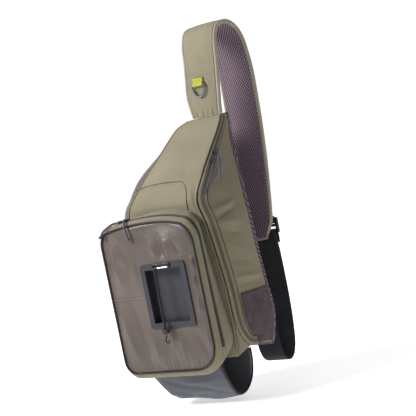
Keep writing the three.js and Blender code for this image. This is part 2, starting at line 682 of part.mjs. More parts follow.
const flange = toSolid(plate(DOCK_WIDTH, DOCK_HEIGHT, DOCK_CORNER, FLANGE_FRONT, FLANGE_BACK, DOCK_X, DOCK_Z));
add('fly_dock', toGeometry(flange.add(trayOut).subtract(trayIn)), 'dock');

const opening = block(RECESS_WIDTH + 2 * (TRAY_WALL + SEAM_GAP), 40, RECESS_HEIGHT + 2 * (TRAY_WALL + SEAM_GAP),
  DOCK_X, PANEL_Y, DOCK_Z);
add('pocket_front_panel', toGeometry(toSolid(pocketPanel()).subtract(opening)), 'coated');

// Wire bent along a flat closed outline in the XZ plane, as a ring of small section.
function wireRing(path, steps, wire, sides, x, y, z) {
  const points = path.getSpacedPoints(steps);
  const section = Array.from({ length: sides }, (_, index) => ({ angle: index * Math.PI * 2 / sides }));
  return ring(steps, section, (u, corner) => {
    const index = Math.round(u * steps) % steps;
    const after = points[(index + 1) % steps];
    const before = points[(index + steps - 1) % steps];
    const tangent = after.clone().sub(before).normalize();
    return vector(x + points[index].x + tangent.y * wire * Math.cos(corner.angle),
      y + wire * Math.sin(corner.angle),
      z + points[index].y - tangent.x * wire * Math.cos(corner.angle));
  });
}

// Round cord along a route, an extruded section with flat ends.
function cordAlong(points, radius, sides, steps) {
  const curve = new THREE.CatmullRomCurve3(points.map((point) => vector(...point)));
  const section = new THREE.Shape();
  for (let index = 0; index < sides; index += 1) {
    const angle = index * 2 * Math.PI / sides;
    const [across, up] = [radius * Math.cos(angle), radius * Math.sin(angle)];
    if (index === 0) section.moveTo(across, up);
    else section.lineTo(across, up);
  }
  section.closePath();
  return new THREE.ExtrudeGeometry(section, { steps, bevelEnabled: false, extrudePath: curve });
}

// Tippet holder: a clip on the dock's upper flange, a doubled cord, a toggle and a hook.
const clipPath = new THREE.Path();
const clipEnd = CLIP_HEIGHT / 2 - CLIP_WIRE;
const clipReach = CLIP_WIDTH / 2 - CLIP_HEIGHT / 2;
clipPath.moveTo(0, -clipEnd);
clipPath.lineTo(clipReach, -clipEnd);
clipPath.absarc(clipReach, 0, clipEnd, -Math.PI / 2, Math.PI / 2);
clipPath.lineTo(-clipReach, clipEnd);
clipPath.absarc(-clipReach, 0, clipEnd, Math.PI / 2, Math.PI * 1.5);
clipPath.closePath();
const CLIP_Y = FLANGE_FRONT - SEAM_GAP - CLIP_WIRE;
add('tippet_clip', wireRing(clipPath, 24, CLIP_WIRE, 6, CLIP_AT.x, CLIP_Y, CLIP_AT.z), 'black');
add('tippet_cord', cordAlong(CORDS.tippet_cord, TIPPET_CORD / 2, 8, 16), 'black');

const cordFoot = vector(...CORDS.tippet_cord.at(-1));
const toggle = new THREE.CylinderGeometry(TOGGLE_RADIUS, TOGGLE_RADIUS, TOGGLE_HEIGHT, 14);
toggle.rotateX(Math.PI / 2);
toggle.translate(cordFoot.x, cordFoot.y, cordFoot.z - SEAM_GAP - TOGGLE_HEIGHT / 2);
add('tippet_toggle', toggle, 'black');
const hookTop = cordFoot.z - 2 * SEAM_GAP - TOGGLE_HEIGHT;
const hookRoute = [[0, 0, 0], [-1, 0, -6], [-4, 0, -12], [-2.5, 0, -17], [2, 0, -17], [3.5, 0, -12]]
  .map(([x, y, z]) => [cordFoot.x + x, cordFoot.y + y, hookTop + z]);
add('tippet_hook', cordAlong(hookRoute, HOOK_WIRE, 6, 14), 'black');

// Strap: two layers sewn together, bound along both edges and across the lower end.
const strapCurve = new THREE.CatmullRomCurve3(STRAP.map(({ at }) => vector(at[0], at[1], BODY_HEIGHT + at[2])));
const strapWidths = STRAP.map((row, index) => ({ share: index / (STRAP.length - 1), wide: row.wide }));
const ACROSS = vector(1, 0, 0);

// A band along a curve: across is a share of its half width, level its height off the centre
// line towards the outer face.
function bandPoint(curve, share, side, level) {
  const tangent = curve.getTangent(share);
  const outer = ACROSS.clone().cross(tangent).normalize();
  return curve.getPoint(share).addScaledVector(ACROSS, side).addScaledVector(outer, level);
}

const halfAt = (share) => STRAP_HALF * sample(strapWidths, 'share', share, 'wide');
function strapLayer(low, high) {
  const slab = new THREE.BoxGeometry(1, 1, 1, 4, STRAP_STEPS, 1);
  return bend(slab, (x, y, z) => {
    const share = (y + 0.5) * (1 - END_SHARE);
    const reach = halfAt(share) - BINDING_WIDTH - SEAM_GAP;
    const thin = 1 - PAD_EDGE * (2 * Math.abs(x)) ** 3;
    return bandPoint(strapCurve, share, 2 * x * reach, lerp(low, high, z + 0.5) * thin);
  });
}

function strapBinding(sign) {
  const slab = new THREE.BoxGeometry(1, 1, 1, 1, STRAP_STEPS, 1);
  return bend(slab, (x, y, z) => {
    const share = (y + 0.5) * (1 - END_SHARE);
    const side = sign * (halfAt(share) - BINDING_WIDTH * (0.5 - x));
    return bandPoint(strapCurve, share, side, z * BINDING_THICK);
  });
}

const HALF_THICK = STRAP_THICK / 2;
add('shoulder_strap', strapLayer(0.2, HALF_THICK), 'khaki');
add('strap_lining', strapLayer(-HALF_THICK, 0.2 - SEAM_GAP), 'mesh');
add('strap_binding_left', strapBinding(-1), 'binding');
add('strap_binding_right', strapBinding(1), 'binding');
const endSlab = new THREE.BoxGeometry(1, 1, 1, 3, 1, 1);
add('strap_binding_end', bend(endSlab, (x, y, z) => {
  const share = 1 - END_SHARE * (0.5 - y) * 0.94;
  return bandPoint(strapCurve, share, 2 * x * (halfAt(share)), z * BINDING_THICK);
}), 'binding');

// D-ring: its straight bar turns in the eye of a folded tab sewn on the strap's front.
const EYE = RING_WIRE + 0.4;
const ringY = RING_AT.y - SEAM_GAP - EYE - TAB_THICK;
const eyeOuter = new THREE.CylinderGeometry(EYE + TAB_THICK, EYE + TAB_THICK, TAB_WIDTH, 16);
eyeOuter.rotateZ(Math.PI / 2);
eyeOuter.translate(RING_AT.x, ringY, RING_AT.z);
const eyeInner = new THREE.CylinderGeometry(EYE, EYE, TAB_WIDTH + 4, 16);
eyeInner.rotateZ(Math.PI / 2);
eyeInner.translate(RING_AT.x, ringY, RING_AT.z);
const tabBack = ringY + EYE + TAB_THICK;
const tab = toSolid(eyeOuter)
  .add(block(TAB_WIDTH, 2 * TAB_THICK, TAB_HEIGHT, RING_AT.x, tabBack - TAB_THICK, RING_AT.z + TAB_HEIGHT / 2))
  .subtract(toSolid(eyeInner));
add('ring_tab', toGeometry(tab), 'lime');

const ringPath = new THREE.Path();
const ringReach = RING_WIDTH / 2 - RING_WIRE;
ringPath.moveTo(0, 0);
ringPath.lineTo(-ringReach + RING_CORNER, 0);
ringPath.quadraticCurveTo(-ringReach, 0, -ringReach, -RING_CORNER);
ringPath.bezierCurveTo(-ringReach, -RING_DROP * 0.45, -ringReach * 0.62, -RING_DROP, 0, -RING_DROP);
ringPath.bezierCurveTo(ringReach * 0.62, -RING_DROP, ringReach, -RING_DROP * 0.45, ringReach, -RING_CORNER);
ringPath.quadraticCurveTo(ringReach, 0, ringReach - RING_CORNER, 0);
ringPath.closePath();
add('d_ring', wireRing(ringPath, 36, RING_WIRE, 6, RING_AT.x, ringY, RING_AT.z), 'metal');

// Adjuster: a frame with two slots, a ribbon from the strap in the upper, webbing in the lower.
const slotWidth = 2 * WEB_HALF + 2;
const slotHeight = (BUCKLE_HEIGHT - 3 * BUCKLE_BAR) / 2;
const slotZ = (BUCKLE_BAR + slotHeight) / 2;
add('strap_buckle', plate(slotWidth + 2 * BUCKLE_BAR, BUCKLE_HEIGHT, 2.4, BUCKLE_AT.y - BUCKLE_BAR / 2,
  BUCKLE_AT.y + BUCKLE_BAR / 2, BUCKLE_AT.x, BUCKLE_AT.z,
  [-slotZ, slotZ].map((z) => ({ x: 0, z, width: slotWidth, height: slotHeight }))), 'black');

function ribbon(points, half, thick, steps) {
  const curve = new THREE.CatmullRomCurve3(points.map((point) => vector(...point)));
  const slab = new THREE.BoxGeometry(1, 1, 1, 1, steps, 1);
  return bend(slab, (x, y, z) => bandPoint(curve, y + 0.5, 2 * x * half, z * thick));
}
const fromBuckle = (route) => route.map((point) => BUCKLE_AT.toArray().map((value,
  axis) => value + point[axis]));
add('buckle_tape', ribbon(fromBuckle(BUCKLE_TAPE), WEB_HALF - 1, WEB_THICK, 16), 'lime');
const webbing = ribbon([...fromBuckle(WEBBING_TURN), ...WEBBING_RUN], WEB_HALF, WEB_THICK, 40);
add('strap_webbing', webbing, 'webbing');

// Anchor: a wing sewn on the lower right corner of the back, under the end of the webbing.
const wing = new THREE.Shape();
wing.setFromPoints(WING.map(([x, z]) => new THREE.Vector2(x, z)));
wing.closePath();
const wingSolid = new THREE.ExtrudeGeometry(wing, { depth: WALL, bevelEnabled: false });
wingSolid.rotateX(Math.PI / 2);
wingSolid.translate(0, SEAM_GAP + WALL, 0);
add('anchor_wing', wingSolid, 'khaki');

// Bottle sleeve: one sheet that hangs under the base from front to back, open to the right.
function sleevePoint(u, x, level) {
  const at = x / SLEEVE_LEFT;
  const angle = Math.PI * u;
  const drop = SLEEVE_DROP * sample(SLEEVE, 'at', at, 'drop') - level;
  const frontZ = BOTTLE_RADIUS * sample(SLEEVE, 'at', at, 'rise');
  const backZ = -SLEEVE_SEAM;
  const side = Math.cos(angle);
  return vector(x, SLEEVE_MIDDLE - (SLEEVE_HALF - level) * Math.sign(side) * Math.abs(side) ** 0.85,
    lerp(frontZ, backZ, u) - drop * Math.sin(angle) ** 0.75);
}
function sleeveSlab(from, to, outer, wall, steps) {
  const slab = new THREE.BoxGeometry(1, 1, 1, 14, steps, 1);
  return bend(slab, (x, y, z) => {
    const u = x + 0.5;
    const slant = MOUTH_X + MOUTH_SLANT * Math.sin(2 * Math.PI * u) * (1 - u);
    return sleevePoint(u, lerp(from(slant), to(slant), y + 0.5), outer + wall * (0.5 - z));
  });
}
add('bottle_sleeve', sleeveSlab(() => -SLEEVE_LEFT, (slant) => slant - SLEEVE_BINDING, 0, WALL, 9), 'sleeve');
add('sleeve_binding', sleeveSlab((slant) => slant - SLEEVE_BINDING + SEAM_GAP, (slant) => slant, -0.6,
  WALL + 1.2, 1),
  'black');

// Zip sliders and the cords tied to them, each with a knot at its end.
function slider(at, forward, up) {
  const side = forward.clone().cross(up).normalize();
  const body = new THREE.BoxGeometry(1, 1, 1, 1, 2, 2);
  return bend(body, (x, y, z) => {
    const waist = y === 0 ? 0.72 : 1;
    const dome = z > 0.4 && Math.abs(y) > 0.4 ? 0.72 : 1;
    return at.clone().addScaledVector(side, x * SLIDER.across * waist)
      .addScaledVector(forward, y * SLIDER.along).addScaledVector(up, (z + 0.5) * SLIDER.tall * dome);
  });
}

function sliderOnZip(name, z) {
  const share = (BODY_HEIGHT - ZIP_TOP_SPACE - z) / (BODY_HEIGHT - ZIP_TOP_SPACE - ZIP_TURN_HEIGHT
    + Math.hypot(ZIP_TURN_HEIGHT - ZIP_FOOT, ZIP_TURN_DEPTH) * 1.12);
  const face = zipFace(ZIP_COIL_WIDTH / 2);
  const here = face(0.5, share);
  const up = normalOf(face, 0.5, share, OUTWARD_RIGHT);
  const forward = face(0.5, share + 0.01).sub(face(0.5, share - 0.01)).normalize();
  add(name, slider(here.addScaledVector(up, COIL_LIFT + SEAM_GAP), forward, up), 'metal');
}
sliderOnZip('main_slider_upper', MAIN_SLIDERS.upper);
sliderOnZip('main_slider_lower', MAIN_SLIDERS.lower);

function sliderOnPocket(name, turn) {
  const depth = (zipBack + rimBack) / 2;
  const here = pocketWall(turn, depth, 0);
  const forward = pocketWall(turn + 0.004, depth, 0).sub(pocketWall(turn - 0.004, depth, 0)).normalize();
  const up = vector(0, -1, 0).cross(forward).normalize();
  const outward = here.clone().sub(vector(0, here.y, POCKET_TOP / 2));
  if (up.dot(outward) < 0) up.negate();
  add(name, slider(here.addScaledVector(up, SEAM_GAP + 0.4), forward, up), 'metal');
}
sliderOnPocket('pocket_slider_left', POCKET_SLIDERS.left);
sliderOnPocket('pocket_slider_right', POCKET_SLIDERS.right);

Object.entries(CORDS).filter(([name]) => name.includes('_pull_')).forEach(([name, points]) => {
  const knot = new THREE.SphereGeometry(KNOT_RADIUS, 8, 6);
  knot.translate(...points.at(-1));
  const tube = toSolid(cordAlong(points, PULL_CORD / 2, 6, 8));
  add(name, toGeometry(tube.add(toSolid(knot))), 'metal');
});

root.position.copy(HANG).negate();

export default root;
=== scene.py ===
# %% [markdown]
# # Fishing tackle sling bag
#
# A teardrop compartment worn on the back, a box pocket on its outer face with a recessed fly dock, a bottle
# sleeve under the base, and one wide padded strap that runs over the shoulder and comes back as webbing. The
# CAD model gives every size and place. Here each cloth piece is cut again from the same tables with its
# folds, seams and stitches, and every piece gets its material.
#
# Sizes are in millimetres from the base of the compartment, and are turned into the frame's metres when a
# mesh is made. +X is the viewer's right, -Y the outer face, +Z up.

import math

import bmesh
import bpy
import numpy as np
from mathutils import Matrix, Vector


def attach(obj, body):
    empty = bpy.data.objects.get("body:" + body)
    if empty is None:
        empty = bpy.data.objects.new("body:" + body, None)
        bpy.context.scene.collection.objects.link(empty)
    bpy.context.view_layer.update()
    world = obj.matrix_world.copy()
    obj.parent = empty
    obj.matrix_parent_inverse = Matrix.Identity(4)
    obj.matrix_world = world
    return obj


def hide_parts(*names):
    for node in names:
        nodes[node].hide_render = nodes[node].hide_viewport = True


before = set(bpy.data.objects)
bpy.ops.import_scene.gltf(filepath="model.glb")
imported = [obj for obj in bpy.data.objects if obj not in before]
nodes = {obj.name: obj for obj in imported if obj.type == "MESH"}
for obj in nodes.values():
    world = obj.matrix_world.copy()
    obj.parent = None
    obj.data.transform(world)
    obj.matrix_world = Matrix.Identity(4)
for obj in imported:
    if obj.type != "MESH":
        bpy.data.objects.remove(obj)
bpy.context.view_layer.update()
scene = bpy.context.scene

# The crest of the strap in bag sizes: the frame's origin
HANG = np.array([60.0, 76.0, 594.2])


def metres(points):
    return (np.asarray(points, float) - HANG) / 1000


def add_object(name, data):
    made = bpy.data.objects.new(name, data)
    scene.collection.objects.link(made)
    return made


# %% [markdown]
# ## Camera
#
# The photograph is taken 36 degrees round to the viewer's right and 3 degrees above, with the picture rolled
# by 11.5 degrees.

# %%
AZIMUTH = math.radians(36)
ELEVATION = math.radians(3)
ROLL = math.radians(11.5)
LENS = 100
DISTANCE = 2.08
TARGET = (73.88, -60, 268.33)

back = Vector((math.sin(AZIMUTH) * math.cos(ELEVATION), -math.cos(AZIMUTH) * math.cos(ELEVATION),
               math.sin(ELEVATION)))
level_right = Vector((math.cos(AZIMUTH), math.sin(AZIMUTH), 0))
level_up = back.cross(level_right)
right = level_right * math.cos(ROLL) - level_up * math.sin(ROLL)
above = level_right * math.sin(ROLL) + level_up * math.cos(ROLL)
eye = Vector(metres(TARGET)) + back * DISTANCE
camera = add_object("camera", bpy.data.cameras.new("camera"))
camera.data.lens = LENS
camera.data.sensor_width = 36
camera.matrix_world = Matrix([*zip(right, above, back, eye), (0, 0, 0, 1)])
scene.camera = camera

# %% [markdown]
# ## Materials
#
# Each finish is a small node tree: two tones mixed by soft noise, a weave or grain in the bump, and its
# sheen. Woven finishes read the cloth's own length and width, in metres, from the mesh's UV map.

# %%
# A wave texture's period at scale 1
WAVE_PERIOD = 0.31416
WEAVE_DEPTH = 0.0002
WHITE = (1, 1, 1)


class Tree:
    """A material's nodes, wired from short calls."""

    def __init__(self, name):
        self.material = bpy.data.materials.new(name)
        self.material.use_nodes = True
        self.nodes = self.material.node_tree.nodes
        self.links = self.material.node_tree.links
        self.shader = self.nodes["Principled BSDF"]
        self.place = self.nodes.new("ShaderNodeTexCoord")

    def set(self, **values):
        for key, value in values.items():
            self.shader.inputs[key.replace("_", " ")].default_value = value

    def node(self, kind, **inputs):
        """A node whose inputs are numbers or other nodes' outputs."""
        made = self.nodes.new("ShaderNode" + kind)
        for name, value in inputs.items():
            if isinstance(value, (int, float)):
                made.inputs[name].default_value = value
            else:
                self.links.new(value, made.inputs[name])
        return made

    def noise(self, scale, detail=3):
        place = self.place.outputs["Object"]
        return self.node("TexNoise", Vector=place, Scale=scale, Detail=detail).outputs["Fac"]

    def bands(self, period, turn):
        turned = self.node("Mapping", Vector=self.place.outputs["UV"])
        turned.inputs["Rotation"].default_value = (0, 0, math.radians(turn))
        wave = self.node("TexWave", Vector=turned.outputs["Vector"], Scale=WAVE_PERIOD / period)
        return wave.outputs["Fac"]

    def weave(self, period, first=0, second=90):
        """Two sets of bands that cross."""
        made = self.nodes.new("ShaderNodeMath")
        made.operation = "MULTIPLY"
        for slot, turn in zip(made.inputs, (first, second)):
            self.links.new(self.bands(period, turn), slot)
        return made.outputs[0]

    def ramp(self, fac, dark, light, low=0.3, high=0.7):
        made = self.node("ValToRGB", Fac=fac)
        for point, place, colour in zip(made.color_ramp.elements, (low, high), (dark, light)):
            point.position = place
            point.color = (*colour, 1)
        return made.outputs["Color"]

    def multiply(self, first, second):
        made = self.nodes.new("ShaderNodeMix")
        made.data_type = "RGBA"
        made.blend_type = "MULTIPLY"
        made.inputs["Factor"].default_value = 1.0
        self.links.new(first, made.inputs["A"])
        self.links.new(second, made.inputs["B"])
        return next(socket for socket in made.outputs if socket.type == "RGBA")

    def colour(self, value):
        self.links.new(value, self.shader.inputs["Base Color"])

    def rough(self, value, scale=60, spread=0.12):
        low = (value * (1 - spread),) * 3
        high = (min(value * (1 + spread), 1),) * 3
        self.links.new(self.ramp(self.noise(scale), low, high), self.shader.inputs["Roughness"])

    def bump(self, height, distance, strength=1.0):
        made = self.node("Bump", Height=height, Distance=distance, Strength=strength)
        normal = self.shader.inputs["Normal"]
        if normal.is_linked:
            self.links.new(normal.links[0].from_socket, made.inputs["Normal"])
        self.links.new(made.outputs["Normal"], normal)


def woven(name, light, dark, thread, rough=0.85, sheen=0.15, crumple=0.0):
    """Plain-woven cloth: two sets of threads crossing, over a broad mottle of two tones."""
    tree = Tree(name)
    fleck = tree.ramp(tree.noise(900, 2), (0.86, 0.86, 0.86), WHITE)
    tree.colour(tree.multiply(tree.ramp(tree.noise(9, 4), dark, light), fleck))
    tree.bump(tree.weave(thread), WEAVE_DEPTH)
    if crumple:
        tree.bump(tree.noise(38), crumple, 0.6)
    tree.rough(rough)
    tree.set(Sheen_Weight=sheen, Specular_IOR_Level=0.3)
    return tree.material


def coated_cloth(name, light, dark):
    """Cloth with a satin coat: soft dents catch broad highlights."""
    tree = Tree(name)
    tree.colour(tree.ramp(tree.noise(7, 5), dark, light, high=0.72))
    tree.bump(tree.noise(24), 0.0022, 0.6)
    tree.bump(tree.weave(0.0009), 0.00008)
    tree.rough(0.4, 20, 0.2)
    tree.set(Specular_IOR_Level=0.5, Coat_Weight=0.05, Coat_Roughness=0.3)
    return tree.material


def air_mesh(name, ground, lit):
    """Spacer mesh: small light threads round dark holes, on a slanting lattice."""
    tree = Tree(name)
    lattice = tree.weave(0.0044, 38, -38)
    tree.colour(tree.ramp(lattice, ground, lit, 0.12, 0.62))
    tree.bump(lattice, 0.0006)
    tree.set(Roughness=0.95, Sheen_Weight=0.1, Specular_IOR_Level=0.15)
    return tree.material


def ribbed(name, light, dark, period, depth=0.0003, rough=0.8, turn=90):
    """Tape or webbing with ribs across its length."""
    tree = Tree(name)
    ribs = tree.bands(period, turn)
    # The grooves between the ribs are painted darker: painted shade.
    shade = tree.ramp(ribs, (0.72, 0.72, 0.72), WHITE, 0.0, 0.5)
    tree.colour(tree.multiply(tree.ramp(tree.noise(25), dark, light), shade))
    tree.bump(ribs, depth)
    tree.rough(rough)
    tree.set(Specular_IOR_Level=0.3, Sheen_Weight=0.08)
    return tree.material


def fleece_cloth(name, light, dark):
    tree = Tree(name)
    tree.colour(tree.ramp(tree.noise(60, 5), dark, light, 0.32))
    tree.bump(tree.noise(420, 4), 0.0012)
    tree.set(Roughness=1.0, Sheen_Weight=0.25, Specular_IOR_Level=0.1)
    return tree.material


def moulded(name, light, dark, rough, grain=0.00006):
    tree = Tree(name)
    tree.colour(tree.ramp(tree.noise(40, 4), dark, light, high=0.75))
    tree.bump(tree.noise(1500, 2), grain)
    tree.rough(rough, 120)
    tree.set(Specular_IOR_Level=0.3)
    return tree.material


def painted(name, light, dark, rough, metallic):
    tree = Tree(name)
    tree.colour(tree.ramp(tree.noise(70, 4), dark, light))
    tree.rough(rough, 160, 0.2)
    tree.bump(tree.noise(700, 2), 0.00005)
    tree.set(Metallic=metallic)
    return tree.material


MATERIAL = {name: finish(name, *values) for name, finish, *values in (
    ("khaki", woven, (0.206, 0.18, 0.122), (0.164, 0.143, 0.095), 0.0009, 0.85, 0.08, 0.0014),
    ("khaki_zip", ribbed, (0.2, 0.175, 0.118), (0.16, 0.139, 0.092), 0.0016),
    ("coated", coated_cloth, (0.07, 0.048, 0.037), (0.038, 0.026, 0.02)),
    ("binding", ribbed, (0.3, 0.275, 0.21), (0.24, 0.22, 0.168), 0.0012),
    ("mesh", air_mesh, (0.052, 0.034, 0.048), (0.28, 0.212, 0.255)),
    ("sleeve", woven, (0.085, 0.092, 0.112), (0.062, 0.067, 0.084), 0.0008, 0.55, 0.15, 0.0014),
    ("zip_black", ribbed, (0.02, 0.017, 0.015), (0.01, 0.009, 0.008), 0.0014, 0.0004, 0.6),
    ("zip_olive", ribbed, (0.1, 0.082, 0.05), (0.07, 0.057, 0.035), 0.0014, 0.0004, 0.6),
    ("webbing", ribbed, (0.02, 0.022, 0.03), (0.012, 0.013, 0.018), 0.0018),
    ("fleece", fleece_cloth, (0.067, 0.048, 0.056), (0.038, 0.028, 0.033)),
    ("lime", ribbed, (0.36, 0.37, 0.035), (0.29, 0.3, 0.028), 0.0013),
    ("dock", moulded, (0.021, 0.022, 0.03), (0.014, 0.014, 0.019), 0.5),
    ("buckle", moulded, (0.014, 0.014, 0.016), (0.006, 0.006, 0.007), 0.22, 0.00002),
    ("wire", painted, (0.02, 0.02, 0.022), (0.008, 0.008, 0.009), 0.28, 0.5),
    ("slider", painted, (0.06, 0.064, 0.095), (0.04, 0.042, 0.064), 0.38, 0.6),
    ("ring_metal", painted, (0.1, 0.11, 0.15), (0.07, 0.078, 0.108), 0.36, 0.7),
    ("steel", painted, (0.7, 0.7, 0.7), (0.5, 0.5, 0.5), 0.2, 1.0),
    ("cord", ribbed, (0.07, 0.075, 0.11), (0.042, 0.045, 0.07), 0.0022, 0.0005, 0.7, 45),
    ("cord_black", ribbed, (0.016, 0.016, 0.018), (0.008, 0.008, 0.009), 0.002, 0.0004, 0.6, 45),
    ("thread", woven, (0.33, 0.305, 0.24), (0.25, 0.23, 0.18), 0.0005),
    # Dark thread for the wing's stitches, and painted shade along the zip's and the stash pocket's seams.
    ("thread_dark", woven, (0.034, 0.027, 0.018), (0.022, 0.018, 0.012), 0.0005),
)}

# %% [markdown]
# ## Tables
#
# The same rows as the CAD model: sections of the compartment, outlines of the pocket, the strap's line and
# the sleeve's shape, each as shares of named sizes.

# %%
WALL = 2.0
PAD_WALL = 8.0
SEAM_GAP = 0.35
SIDE_EASE = 1.0
LAY_GAP = 0.85
BODY_HEIGHT = 432.0
FRONT_HALF = 106.0
BACK_HALF = 135.0
BODY_DEPTH = 98.0
FRONT_CROWN = 5.0
CROWN_START = 0.66
SIDE_BULGE = 7.0
LEFT_BULGE = 26.0
BASE_ARCH = 13.0
BASE_ARCH_REACH = 60.0
ZIP_STRIP_WIDTH = 18.0
ZIP_TAPE = 1.2
ZIP_COIL_WIDTH = 4.5
ZIP_COIL_HEIGHT = 1.4
ZIP_TOP_SPACE = 6.0
ZIP_TURN_HEIGHT = 80.0
ZIP_TURN_DEPTH = 36.0
ZIP_FOOT = 5.0
FLY_PATCH_TOP = 110.0
FLY_PATCH_THICK = 3.0
FLY_PATCH_GAP = 2.4
POCKET_DEPTH = 57.0
POCKET_HALF = 101.0
POCKET_TOP = 271.0
POCKET_CROWN = 4.0
CROWN_SHARE = 0.24
RIM_WIDTH = 13.0
RIM_FRONT = 0.985
POCKET_ZIP_WIDTH = 9.0
POCKET_ZIP_TURN = 0.14
PIPING_RADIUS = 1.5
PANEL_INSET = 3.6
DOCK = {"x": 23.0, "z": 134.0, "wide": 100.0, "tall": 116.0, "flange": 10.0, "deep": 16.0}
FLANGE_THICK = 2.6
TRAY_WALL = 2.0
STRAP_HALF = 39.0
STRAP_THICK = 11.0
PAD_EDGE = 0.3
BINDING_WIDTH = 5.0
BINDING_THICK = 8.5
END_SHARE = 0.0105
WEB_HALF = 25.0
WEB_THICK = 1.6
WEB_EDGE = 1.2
BOTTLE_RADIUS = 43.0
SLEEVE_DROP = 73.0
SLEEVE_HALF = 49.0
SLEEVE_MIDDLE = -63.0
SLEEVE_SEAM = 0.8
MOUTH_X = 74.0
MOUTH_SLANT = 9.0
SLEEVE_LEFT = 110.0
SLEEVE_BINDING = 5.0
SLEEVE_GIRTH = 190.0

BODY = {
    "up": [0, 0.046, 0.164, 0.266, 0.431, 0.574, 0.653, 0.764, 0.845, 0.931, 0.972, 1],
    "front_left": [-0.93, -0.98, -1, -0.98, -0.9, -0.81, -0.745, -0.6, -0.44, -0.3, -0.19, 0.08],
    "front_right": [0.93, 0.98, 1, 0.99, 0.92, 0.83, 0.75, 0.74, 0.75, 0.75, 0.75, 0.74],
    "front_y": [-0.94, -0.99, -1, -1, -1, -1, -1, -0.66, -0.33, 0.06, 0.22, 0.31],
    "back_left": [-0.87, -0.93, -1, -0.97, -0.93, -0.87, -0.8, -0.63, -0.41, -0.24, -0.14, 0.07],
    "back_right": [0.87, 0.93, 1, 0.97, 0.935, 0.91, 0.87, 0.79, 0.69, 0.6, 0.585, 0.575],
    "back_y": [0, 0, 0, 0, 0, 0.02, 0.08, 0.22, 0.38, 0.56, 0.61, 0.63],
}
POCKET = {
    "depth": [0, 0.78, 1],
    "left": [-1, -1.14, -1.1],
    "right": [1, 1.03, 0.98],
    "top_left": [-0.76, -1.12, -1.1],
    "top_right": [0.76, 1.01, 0.98],
    "low": [0.015, -0.06, -0.024],
    "edge": [0.975, 0.95, 0.93],
    "crest": [1.05, 1.022, 1],
    "corner_top": [0.22, 0.34, 0.32],
    "corner_top_left": [0.16, 0.2, 0.18],
    "corner_left": [0.24, 0.28, 0.26],
    "corner_right": [0.42, 0.5, 0.48],
}
SLEEVE = {
    "at": [-1, -0.92, -0.8, -0.64, -0.5, 0.3, 0.5, 0.76],
    "drop": [0.26, 0.42, 0.56, 0.84, 0.99, 1, 1, 1],
    "rise": [0.19, 0.07, -0.08, -0.18, -0.21, -0.21, -0.17, 0.03],
}
STRAP = [
    (46, 36, 432.5), (45.5, 35.6, 452), (46.5, 35.5, 474), (50, 36, 502), (54, 37, 534), (56.5, 39.5, 568),
    (58, 51, 592), (60, 76, 600), (61, 102, 593), (62, 121, 572), (63, 130, 535), (64, 132, 500),
    (65, 129, 460), (65, 125, 400), (64, 118, 330), (62, 109, 265), (61, 103, 222), (60, 98, 180),
]
STRAP_WIDE = [0.83, 0.9, 0.97, 0.98, 0.98, 0.99, 1, 1, 1, 1, 1, 1, 1, 1, 1, 1, 0.97, 0.52]
WEBBING = [
    (70, 120.2, 170), (70, 120.4, 183), (70, 120, 191), (70, 117.6, 195.6), (70, 114.6, 196.6),
    (70.5, 111, 195.2), (71, 109.5, 189), (72, 108, 180), (77, 103, 158), (88, 87, 117), (100, 68, 68),
    (105, 56, 20), (106, 47, -14), (105, 37, -32), (104, 24, -37), (103, 11, -27), (102, 5.6, -10),
    (101, 4.2, 10), (100, 4.1, 36),
]
BUCKLE_TAPE = [
    (70, 114.6, 252), (70, 112.8, 238), (70, 111, 226), (70, 111.6, 220.4), (70, 114.8, 221.4),
    (70, 118.2, 220.6), (70, 119.9, 216.5), (70, 119.8, 207),
]
WING = [(66, 8), (112, 8), (120, 62), (82, 48)]

# The CAD node that each made piece stands for, and that node's material slot
STANDS_FOR = {
    "tippet_hook": ("tippet_hook", "wire"),
    "main_front": ("main_front_panel", "khaki"),
    "back_pad": ("back_panel", "mesh"),
    "side_right": ("side_panel_right", "khaki"),
    "side_left": ("side_panel_left", "coated"),
    "base": ("base_panel", "khaki"),
    "yoke": ("top_yoke", "khaki"),
    "zip_strip": ("main_zip_strip", "khaki"),
    "zip_coil": ("main_zip_coil", "zip_black"),
    "fleece_patch": ("fly_patch", "fleece"),
    "rim": ("pocket_rim", "khaki"),
    "boxing": ("pocket_boxing", "khaki"),
    "pocket_zip_band": ("pocket_zip", "zip_black"),
    "bottom_band": ("pocket_bottom_band", "khaki"),
    "piping": ("pocket_piping", "zip_black"),
    "pocket_front": ("pocket_front_panel", "coated"),
    "clip": ("tippet_clip", "wire"),
    "strap_cover": ("shoulder_strap", "khaki"),
    "strap_mesh": ("strap_lining", "mesh"),
    "strap_binding_left_tape": ("strap_binding_left", "binding"),
    "strap_binding_right_tape": ("strap_binding_right", "binding"),
    "strap_end_tape": ("strap_binding_end", "binding"),
    "buckle_ribbon": ("buckle_tape", "lime"),
    "webbing": ("strap_webbing", "webbing"),
    "wing": ("anchor_wing", "khaki"),
    "ring": ("d_ring", "ring_metal"),
    "tab": ("ring_tab", "lime"),
    "sleeve": ("bottle_sleeve", "sleeve"),
    "mouth_binding": ("sleeve_binding", "zip_black"),
}

# %% [markdown]
# ## Curves and meshes
#
# Small tools that read the tables and turn grids of points into closed cloth pieces.

# %%
def smoothstep(value, low=0.0, high=1.0):
    share = np.clip((np.asarray(value, float) - low) / (high - low), 0, 1)
    return share * share * (3 - 2 * share)


